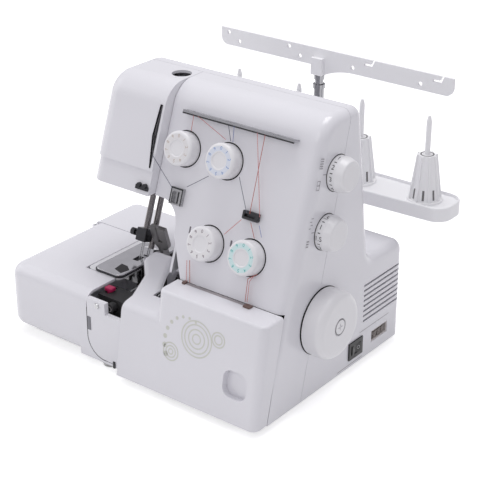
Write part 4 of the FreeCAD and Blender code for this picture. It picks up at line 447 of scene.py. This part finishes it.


# Numbers round the rims of the side dials, and painted shade in the gaps behind the rims

SIDE_DIALS = {
    "length_dial": dict(y=116, z=216, digits=("1", "2", "3", "4", "5")),
    "feed_dial": dict(y=100, z=165.5, digits=(".5", "1", "1.5", "2", "2.2")),
}
RIM_RADIUS = 16.26
RIM_MIDDLE = 4
RIM_FRONT = 180
RIM_STEP = 38
RIM_DIGIT = 6.2


def on_rim(dial, degrees):
    """A frame on a side dial's rim, at an angle round its axis."""
    angle = math.radians(degrees)
    radial = Vector((0, math.cos(angle), math.sin(angle)))
    middle = at(RIM_MIDDLE, dial["y"], dial["z"]) + radial * (RIM_RADIUS * MM)
    return facing(middle, ACROSS, radial.cross(ACROSS))


rim_ink = ink("rim_ink", (0.02, 0.02, 0.022))
for body, dial in SIDE_DIALS.items():
    made = bmesh.new()
    for place, digit in enumerate(dial["digits"]):
        degrees = RIM_FRONT + RIM_STEP * (place - len(dial["digits"]) // 2)
        stamp(made, on_rim(dial, degrees), digit, RIM_DIGIT)
        dash(made, on_rim(dial, degrees + RIM_STEP / 2), width=2.6, height=0.8)
    piece(f"{body}_digits", made, rim_ink, body)

# Painted shade: dark rings on the side wall in the gaps behind the side dials' rims
made = bmesh.new()
for dial in SIDE_DIALS.values():
    ring(made, side_mark(GAP_SHADE_PROUD, dial["y"], dial["z"]), radius=15.8, width=2.6, segments=64)
piece("side_dial_gap_shade", made, ink("dial_gap_shade_grey", (0.05, 0.05, 0.055)), "machine")


# Plain stitch signs and index lines beside the side dials, slanted like the tower

STITCH_SIGN = (92.3, 231.8)
LADDER_SIGN = (87.6, 213)
LENGTH_INDEX = (97, 220.4)
WAVE_SIGN = (78.7, 180.7)
STACK_SIGN = (73.4, 163)
FEED_INDEX = (81.5, 171.2)
LADDER_HALF = 2.1


def stroke(made, sign, width, height, across=0, up=0):
    """One stroke of a sign, shifted from the sign's middle."""
    where = facing(at(PROUD, *sign), SIGN_ACROSS, SIGN_UP)
    dash(made, where @ Matrix.Translation((across * MM, up * MM, 0)), width, height)


def rows_of_strokes(made, sign, rows, pitch, width, height, stagger=0):
    """Strokes above each other, shifted to the left and right in turn by the stagger."""
    for row in range(rows):
        side = 1 if row % 2 else -1
        stroke(made, sign, width, height, side * stagger, (row - (rows - 1) / 2) * pitch)


made = bmesh.new()
rows_of_strokes(made, STITCH_SIGN, rows=5, pitch=2.1, width=5.2, height=0.8)
rows_of_strokes(made, LADDER_SIGN, rows=3, pitch=4, width=4.2, height=0.55)
for side in (-1, 1):
    stroke(made, LADDER_SIGN, width=0.55, height=8.5, across=side * LADDER_HALF)
stroke(made, LENGTH_INDEX, width=5.5, height=0.7)
rows_of_strokes(made, WAVE_SIGN, rows=4, pitch=3, width=3.4, height=0.6, stagger=0.8)
rows_of_strokes(made, STACK_SIGN, rows=3, pitch=2.4, width=3.6, height=1.3)
stroke(made, FEED_INDEX, width=5, height=0.7)
piece("side_signs", made, ink("sign_ink", (0.34, 0.33, 0.35)), "machine")


# Painted shadow in the gap behind the handwheel, and the ring on its cap

WHEEL_Y = 97.5
WHEEL_Z = 78.5
WHEEL_CAP = 21.3
# Painted shadow: a black ring on the side wall in the gap behind the handwheel
made = bmesh.new()
ring(made, side_mark(GAP_SHADE_PROUD, WHEEL_Y, WHEEL_Z), radius=30.9, width=3.4, segments=96)
piece("wheel_shadow_gap", made, ink("wheel_shadow_black", (0.012, 0.012, 0.013)), "machine")
made = bmesh.new()
ring(made, side_mark(WHEEL_CAP, WHEEL_Y, WHEEL_Z), radius=7.3, width=0.8)
piece("wheel_cap_ring", made, ink("cap_ring_grey", (0.22, 0.22, 0.23)), "drive_shaft")


# Printed marks on the switch, whose rocker slopes down to its middle

SWITCH_Z = 23
ROCKER_Y = 156
ROCKER_SLOPE = 0.2
ROCKER_STEP = 3.7
ROCKER_VALLEY = 0.76
ROCKER_SIGN = 5.4
made = bmesh.new()
for sign, side in (("I", -1), ("O", 1)):
    spot = at(ROCKER_VALLEY + ROCKER_SLOPE * ROCKER_STEP, ROCKER_Y + ROCKER_STEP * side, SWITCH_Z)
    stamp(made, facing(spot, Vector((ROCKER_SLOPE * side, 1, 0)), UP), sign, ROCKER_SIGN)
piece("rocker_signs", made, ink("rocker_ink", (0.45, 0.45, 0.46)), "rocker")


# Painted shade in the contact wells of the power inlet, and in shallow grooves moulded into the right side

WELL_MIDDLE = 198
WELL_PITCH = 6.8
WELL_FLOOR = -0.6
LINE_WIDTH = 0.7
# Painted shade: dark patches on the floors of the inlet's contact wells
made = bmesh.new()
for side in (-1, 0, 1):
    dash(made, side_mark(WELL_FLOOR, WELL_MIDDLE + WELL_PITCH * side, SWITCH_Z), width=4.6, height=6)
piece("inlet_well_shade", made, ink("well_shade_brown", (0.16, 0.13, 0.12)), "machine")
# Painted shade: grey lines where shallow grooves in the right side lie in shade
made = bmesh.new()
dash(made, side_mark(PROUD, y=188.5, z=36.5), width=51, height=LINE_WIDTH)
dash(made, side_mark(PROUD, y=148, z=9), width=42, height=LINE_WIDTH)
piece("side_groove_shade", made, ink("groove_shade_grey", (0.36, 0.35, 0.36)), "machine")


# A plain ornament of rings and dots on the front cover

RING_SETS = (
    dict(x=-73, along=66, radii=(17, 13.5, 9, 4.5)),
    dict(x=-101, along=45, radii=(8.5, 5.5, 2.5)),
    dict(x=-49, along=73, radii=(7, 4.2)),
)
RING_WIDTH = 1.3
DOTS = 9
DOT_ARC = dict(x=-84, along=54, across=25, up=29)
DOT_START = 70
DOT_STEP = 17
DOT_RADIUS = 1.2
DOT_GROWTH = 0.18
made = bmesh.new()
for rings in RING_SETS:
    for radius in rings["radii"]:
        ring(made, cover_mark(rings["x"], rings["along"]), radius, RING_WIDTH)
for count in range(DOTS):
    turn = math.radians(DOT_START + DOT_STEP * count)
    x = DOT_ARC["x"] + DOT_ARC["across"] * math.cos(turn)
    along = DOT_ARC["along"] + DOT_ARC["up"] * math.sin(turn)
    bmesh.ops.create_circle(made, cap_ends=True, segments=20, radius=(DOT_RADIUS + DOT_GROWTH * count) * MM,
                            matrix=cover_mark(x, along))
ornament_green = ink("ornament_green", (0.655, 0.665, 0.60), fade=0.96)
piece("cover_ornament", made, ornament_green, "cover_flap")


# Painted shade for a thread channel along the front cover's top, with a guide clip at each end

COVER_TOP = 105
# Painted shade: a grey strip on the cover's top where the thread channel lies in shade
made = bmesh.new()
dash(made, top_mark(x=-73, y=39.1, z=COVER_TOP + PROUD), width=74, height=3.6)
channel_shade_grey = ink("channel_shade_grey", (0.36, 0.33, 0.34), fade=0.9)
piece("cover_channel_shade", made, channel_shade_grey, "cover_flap")
made = bmesh.new()
block(made, at(-111.5, 36, 104.5), at(-108, 40.8, 107))
block(made, at(-40.5, 34.5, 104.5), at(-33, 40, 106.8))
piece("cover_clips", made, clip_brown, "cover_flap")


# Small fittings on the front wall: latch plate, screw and catch

made = bmesh.new()
block(made, at(-207.2, 9.5, 37), at(-203.2, 10.6, 51))
piece("latch_plate", made, latch_grey, "machine")
made = bmesh.new()
stud(made, front_mark(x=-194.5, y=9.6, z=65.5), foot=3, head=2.6, height=1.2, segments=32)
piece("wall_screw", made, drawn_steel, "machine")
made = bmesh.new()
block(made, at(-176, 8.8, 5.5), at(-173.4, 11, 12.5))
piece("door_catch", made, catch_black, "machine")


# Painted shade in the gap between the side cover and the front wall: a straight run and a quarter turn

DOOR_SHADE_X = -208.05
DOOR_SHADE_WIDTH = 0.7
DOOR_SHADE_FRONT = 9.9
DOOR_SHADE_BACK = 11.5
DOOR_SHADE_TOP = 60
DOOR_SHADE_TURN = 30.9
DOOR_SHADE_RADIUS = 21.55
DOOR_SHADE_STEPS = 14
# Painted shade: a dark strip in the gap along the front wall's edge
made = bmesh.new()
door_shade_low = at(DOOR_SHADE_X - DOOR_SHADE_WIDTH / 2, DOOR_SHADE_FRONT, DOOR_SHADE_TURN)
door_shade_high = at(DOOR_SHADE_X + DOOR_SHADE_WIDTH / 2, DOOR_SHADE_BACK, DOOR_SHADE_TOP)
cuboid(made, door_shade_low, door_shade_high)
underside = [face for face in made.faces if face.normal.z < -0.9]
bmesh.ops.spin(made, geom=underside, cent=at(DOOR_SHADE_X + DOOR_SHADE_RADIUS, DOOR_SHADE_FRONT, DOOR_SHADE_TURN), axis=AWAY,
               angle=-math.pi / 2, steps=DOOR_SHADE_STEPS)
bmesh.ops.remove_doubles(made, verts=made.verts[:], dist=0.01 * MM)
bmesh.ops.recalc_face_normals(made, faces=made.faces[:])
piece("door_gap_shade", made, ink("door_shade_black", (0.03, 0.03, 0.032)), "machine")


# Ring on the cutting width dial

made = bmesh.new()
ring(made, front_mark(x=-186, y=17.6, z=62), radius=2.6, width=0.9)
piece("width_dial_ring", made, ink("dial_ring_grey", (0.34, 0.32, 0.33)), "width_knob")


# Painted shade under the presser foot's edge, and in the opening in its toe

FOOT_TOP = 77.46
FOOT_OPENING = ((-218, 61), (-207, 57.5), (-204.6, 67.5), (-212, 73), (-220, 73.5))
# Painted shade: a dark plate just under the foot that shows as a dark rim round its edge
made = bmesh.new()
plate(made, at(-237.9, 51.1, 74.6), at(-202.1, 125.9, 75.8), corner=7.2)
piece("foot_edge_shade", made, dark_steel, "presser_unit")
# Painted shade: a black patch filling the toe's opening
made = bmesh.new()
made.faces.new([made.verts.new(at(x, y, FOOT_TOP)) for x, y in FOOT_OPENING])
piece("foot_opening_shade", made, ink("opening_shade_black", (0.014, 0.013, 0.014)), "presser_unit")


# Thread guide on the face cover's lip: two studs on a bar

LIP_GUIDE_X = -174.5
STUD_STEP = 3.5
LIP_BAR_SIZE = (15 * MM, 4 * MM, 1.2 * MM, 1)
made = bmesh.new()
for side in (-1, 1):
    where = panel_mark(LIP_GUIDE_X + STUD_STEP * side, along=73.5, out=11.4)
    stud(made, where, foot=2.6, head=2.2, height=2.6, segments=24)
bar_place = panel_mark(LIP_GUIDE_X, along=71.5, out=10.9)
bmesh.ops.create_cube(made, size=1, matrix=bar_place @ Matrix.Diagonal(LIP_BAR_SIZE))
piece("face_thread_guide", made, dark_steel, "machine")


# Painted shadow along the guide plate's front edge, and painted shade round the needle guide and in its slot

GUIDE_EDGE = 148.6
GUIDE_OUT = 8
EDGE_DROP = 0.2
NEEDLE_GUIDE_FACE = 3.6
NEEDLE_GUIDE_FLOOR = 1.2
NEEDLE_GUIDE_LINES = (
    dict(x=-145.9, along=72.5, width=1.2, height=16),
    dict(x=-143.7, along=70.5, width=1, height=11),
    dict(x=-133.2, along=72.5, width=1.2, height=16),
    dict(x=-139.5, along=79.7, width=14, height=1.5),
)
# Painted shadow: a black strip under the guide plate's front edge
made = bmesh.new()
dash(made, panel_mark(x=-86, along=GUIDE_EDGE - EDGE_DROP, out=GUIDE_OUT + PROUD), width=124, height=1.3)
piece("guide_plate_edge_shade", made, painted_shade_black, "machine")
# Painted shade: black lines round the needle guide and on its slot floor
made = bmesh.new()
for line in NEEDLE_GUIDE_LINES:
    where = panel_mark(line["x"], line["along"], NEEDLE_GUIDE_FACE + PROUD)
    dash(made, where, line["width"], line["height"])
dash(made, panel_mark(x=-138.6, along=71.2, out=NEEDLE_GUIDE_FLOOR + PROUD), width=2.2, height=10.6)
piece("needle_guide_shade_lines", made, painted_shade_black, "machine")


# Painted shade lining the take-up slot

SLOT_EDGE = -169.05
SLOT_LOW = 91.3
SLOT_HIGH = 150.2
SLOT_BULGE = 120.75
SLOT_LOW_WIDTH = 1.2
SLOT_HIGH_WIDTH = 2.4
SLOT_BULGE_WIDTH = 4.9
SLOT_OUTER = 11.95
SLOT_INNER = 9.5
SLOT_OUTLINE = (
    (SLOT_EDGE - SLOT_LOW_WIDTH, SLOT_LOW),
    (SLOT_EDGE, SLOT_LOW),
    (SLOT_EDGE, SLOT_HIGH),
    (SLOT_EDGE - SLOT_HIGH_WIDTH, SLOT_HIGH),
    (SLOT_EDGE - SLOT_BULGE_WIDTH, SLOT_BULGE),
)
# Painted shade: black walls inside the take-up slot
made = bmesh.new()
rim = [made.verts.new(on_panel(x, along, SLOT_OUTER)) for x, along in SLOT_OUTLINE]
edges = [made.edges.new((rim[k - 1], rim[k])) for k in range(len(rim))]
walls = bmesh.ops.extrude_edge_only(made, edges=edges)["geom"]
inner = [vert for vert in walls if isinstance(vert, bmesh.types.BMVert)]
bmesh.ops.translate(made, verts=inner, vec=PANEL_OUT * ((SLOT_INNER - SLOT_OUTER) * MM))
piece("take_up_slot_shade", made, painted_shade_black, "machine")


# Threads over the dial panel: straight taut runs between the guides, the dials and the front cover

THREAD_RADIUS = 0.28
DIAL_DISCS = 4
LOOPER_GUIDE_TOP = 78
LOOPER_GUIDE_FOOT = 71
LOOPER_ENTRY = 5
LOOPER_EXIT = 5.6
COVER_SLOT = 3


def lay_thread(made, points):
    """Round thread through a few points."""
    radius = THREAD_RADIUS * MM
    for start, end in zip(points, points[1:]):
        run = end - start
        turn = run.to_track_quat("Z", "Y").to_matrix().to_4x4()
        bmesh.ops.create_cone(made, cap_ends=True, segments=8, radius1=radius, radius2=radius,
                              depth=run.length, matrix=Matrix.Translation((start + end) / 2) @ turn)
        bmesh.ops.create_icosphere(made, subdivisions=1, radius=radius, matrix=Matrix.Translation(end))


def from_plate(x):
    """Under the guide plate's front edge."""
    return on_panel(x, GUIDE_EDGE, GUIDE_OUT)


def by_dial(x, along):
    """Beside a tension dial, between its discs."""
    return on_panel(x, along, DIAL_DISCS)


def over_looper_guide(x):
    return on_panel(x, LOOPER_GUIDE_TOP, LOOPER_ENTRY)


def under_looper_guide(x):
    return on_panel(x, LOOPER_GUIDE_FOOT, LOOPER_EXIT)


def at_cover(x, along):
    """At the front cover's top edge."""
    return on_panel(x, along, COVER_SLOT)


TAKE_UP_SLOT = on_panel(-168.5, 103.7, 12.6)
NEEDLE_GUIDE = on_panel(-145, 79.5, 5)
THREADS = {
    "rose": dict(colour=(0.72, 0.30, 0.30), runs=(
        (from_plate(-135), by_dial(-137.3, 133.8)),
        (from_plate(-130), by_dial(-98, 134.9)),
        (from_plate(-63.5), over_looper_guide(-44.3)),
        (under_looper_guide(-62.3), by_dial(-78.1, 53.3)),
        (by_dial(-112.3, 19.8), at_cover(-108.9, 0.8)),
        (by_dial(-37.5, 27.3), by_dial(-41.2, 20.4), at_cover(-39.6, 2)),
    )),
    "red": dict(colour=(0.55, 0.13, 0.10), runs=(
        (from_plate(-55), over_looper_guide(-55.3)),
        (under_looper_guide(-51.9), by_dial(-45.7, 58.2)),
        (by_dial(-34.8, 28.8), by_dial(-43.4, 22.4), at_cover(-41.8, 2)),
        (by_dial(-109.2, 20.7), at_cover(-104.7, 0.8)),
    )),
    "slate": dict(colour=(0.12, 0.13, 0.18), runs=(
        (TAKE_UP_SLOT, NEEDLE_GUIDE),
        (by_dial(-129.2, 83.7), by_dial(-108.1, 98.9)),
        (by_dial(-75.2, 106.4), over_looper_guide(-58.7)),
        (from_plate(-95.5), by_dial(-92.3, 134.9)),
    )),
    "blue": dict(colour=(0.25, 0.30, 0.55), runs=(
        (from_plate(-89), by_dial(-89.7, 134.5)),
        (under_looper_guide(-42.7), by_dial(-38.7, 61.4)),
    )),
}
for colour_name, thread in THREADS.items():
    made = bmesh.new()
    for run in thread["runs"]:
        lay_thread(made, run)
    finish = spun(f"thread_{colour_name}", thread["colour"])
    piece(f"thread_{colour_name}", made, finish, "machine")


# Painted shade in the gaps between the ribs of the thread cones, and round the pins at their tops

CONES = 4
CONE_RIGHT = 12.95
CONE_PITCH = 74.3
CONE_Y = 247.5
CONE_LOW = 149
CONE_HIGH = 195
CONE_FLANGE = 2
CONE_RIBS = 8
CONE_LOW_RADIUS = 13.8
CONE_HIGH_RADIUS = 8.4
CONE_SLOPE = (CONE_HIGH_RADIUS - CONE_LOW_RADIUS) / (CONE_HIGH - CONE_LOW - CONE_FLANGE)
GAP_MIDDLE = 8.5
GAP_RADIUS = CONE_LOW_RADIUS + CONE_SLOPE * (GAP_MIDDLE - CONE_FLANGE) + GAP_SHADE_PROUD
# Painted shade: dark patches on the cones between the ribs and a dark ring round each pin
made = bmesh.new()
for cone in range(CONES):
    x = CONE_RIGHT - CONE_PITCH * cone
    for rib in range(CONE_RIBS):
        angle = 2 * math.pi * (rib + 0.5) / CONE_RIBS
        out = Vector((math.cos(angle), math.sin(angle), 0))
        upright = (UP + out * CONE_SLOPE).normalized()
        middle = at(x, CONE_Y, CONE_LOW + GAP_MIDDLE) + out * (GAP_RADIUS * MM)
        dash(made, facing(middle, UP.cross(out), upright), width=2, height=10)
    ring(made, top_mark(x, CONE_Y, CONE_HIGH + PROUD), radius=6, width=1.4)
piece("cone_gap_shade", made, ink("cone_gap_shade_grey", (0.17, 0.165, 0.17)), "machine")


# Studio, in metres and watts: white paper under a pale sky and three soft lamps

SKY_COLOUR = (0.945, 0.93, 0.985, 1)
SKY_STRENGTH = 0.545
FLOOR_REACH = 40
FLOOR_DROP = 0.0005
PAPER_COLOUR = (0.86, 0.86, 0.86, 1)
PAPER_ROUGHNESS = 0.9
PAPER_GLOW = 0.6
CAMERA_PLACE = (0.7534, -0.9488, 0.6811)
CAMERA_TILT = 64.6
CAMERA_HEADING = 38


def lamp(name, place, aim, size, power):
    """A square soft lamp that points at a spot."""
    light = bpy.data.lights.new(name, "AREA")
    light.size = size
    light.energy = power
    holder = bpy.data.objects.new(name, light)
    holder.location = place
    holder.rotation_euler = (Vector(aim) - Vector(place)).to_track_quat("-Z", "Y").to_euler()
    bpy.context.scene.collection.objects.link(holder)


def maths(tree, operation, first, second=None):
    """A math node on one or two sockets."""
    node = tree.nodes.new("ShaderNodeMath")
    node.operation = operation
    tree.links.new(first, node.inputs[0])
    if second is not None:
        tree.links.new(second, node.inputs[1])
    return node


def seen_glow(tree, strength):
    """A strength that only the camera and mirror-like or clear surfaces see."""
    path = tree.nodes.new("ShaderNodeLightPath")
    mirrored = maths(tree, "MAXIMUM", path.outputs["Is Camera Ray"], path.outputs["Is Glossy Ray"])
    seen = maths(tree, "MAXIMUM", mirrored.outputs[0], path.outputs["Is Transmission Ray"])
    level = maths(tree, "MULTIPLY", seen.outputs[0])
    level.inputs[1].default_value = strength
    return level.outputs[0]


def sky():
    world = bpy.data.worlds.new("studio")
    world.use_nodes = True
    bpy.context.scene.world = world
    background = world.node_tree.nodes["Background"]
    background.inputs["Color"].default_value = SKY_COLOUR
    background.inputs["Strength"].default_value = SKY_STRENGTH


def paper():
    mesh = bpy.data.meshes.new("floor")
    made = bmesh.new()
    bmesh.ops.create_grid(made, x_segments=1, y_segments=1, size=FLOOR_REACH)
    made.to_mesh(mesh)
    made.free()
    floor = bpy.data.objects.new("floor", mesh)
    floor.location.z = -FLOOR_DROP
    bpy.context.scene.collection.objects.link(floor)
    material, tree, shader = finish_of("floor_paper")
    shader.inputs["Base Color"].default_value = PAPER_COLOUR
    shader.inputs["Roughness"].default_value = PAPER_ROUGHNESS
    shader.inputs["Emission Color"].default_value = (1, 1, 1, 1)
    tree.links.new(seen_glow(tree, PAPER_GLOW), shader.inputs["Emission Strength"])
    mesh.materials.append(material)


def camera():
    """The photograph's viewpoint."""
    view = bpy.data.cameras.new("camera")
    view.sensor_width = 36
    view.lens = 104.69
    holder = bpy.data.objects.new("camera", view)
    holder.location = CAMERA_PLACE
    holder.rotation_euler = Euler((math.radians(CAMERA_TILT), 0, math.radians(CAMERA_HEADING)))
    bpy.context.scene.collection.objects.link(holder)
    bpy.context.scene.camera = holder


bpy.context.scene.view_settings.view_transform = "Standard"
sky()
paper()
lamp("key", place=(0, -1.6, 1.3), aim=(0, 0, 0.12), size=1.0, power=4)
lamp("top", place=(-0.1, 0.3, 1.9), aim=(0, 0, 0.1), size=1.0, power=14)
lamp("left", place=(-1.6, -0.5, 0.8), aim=(0, 0, 0.1), size=1.2, power=4)
camera()
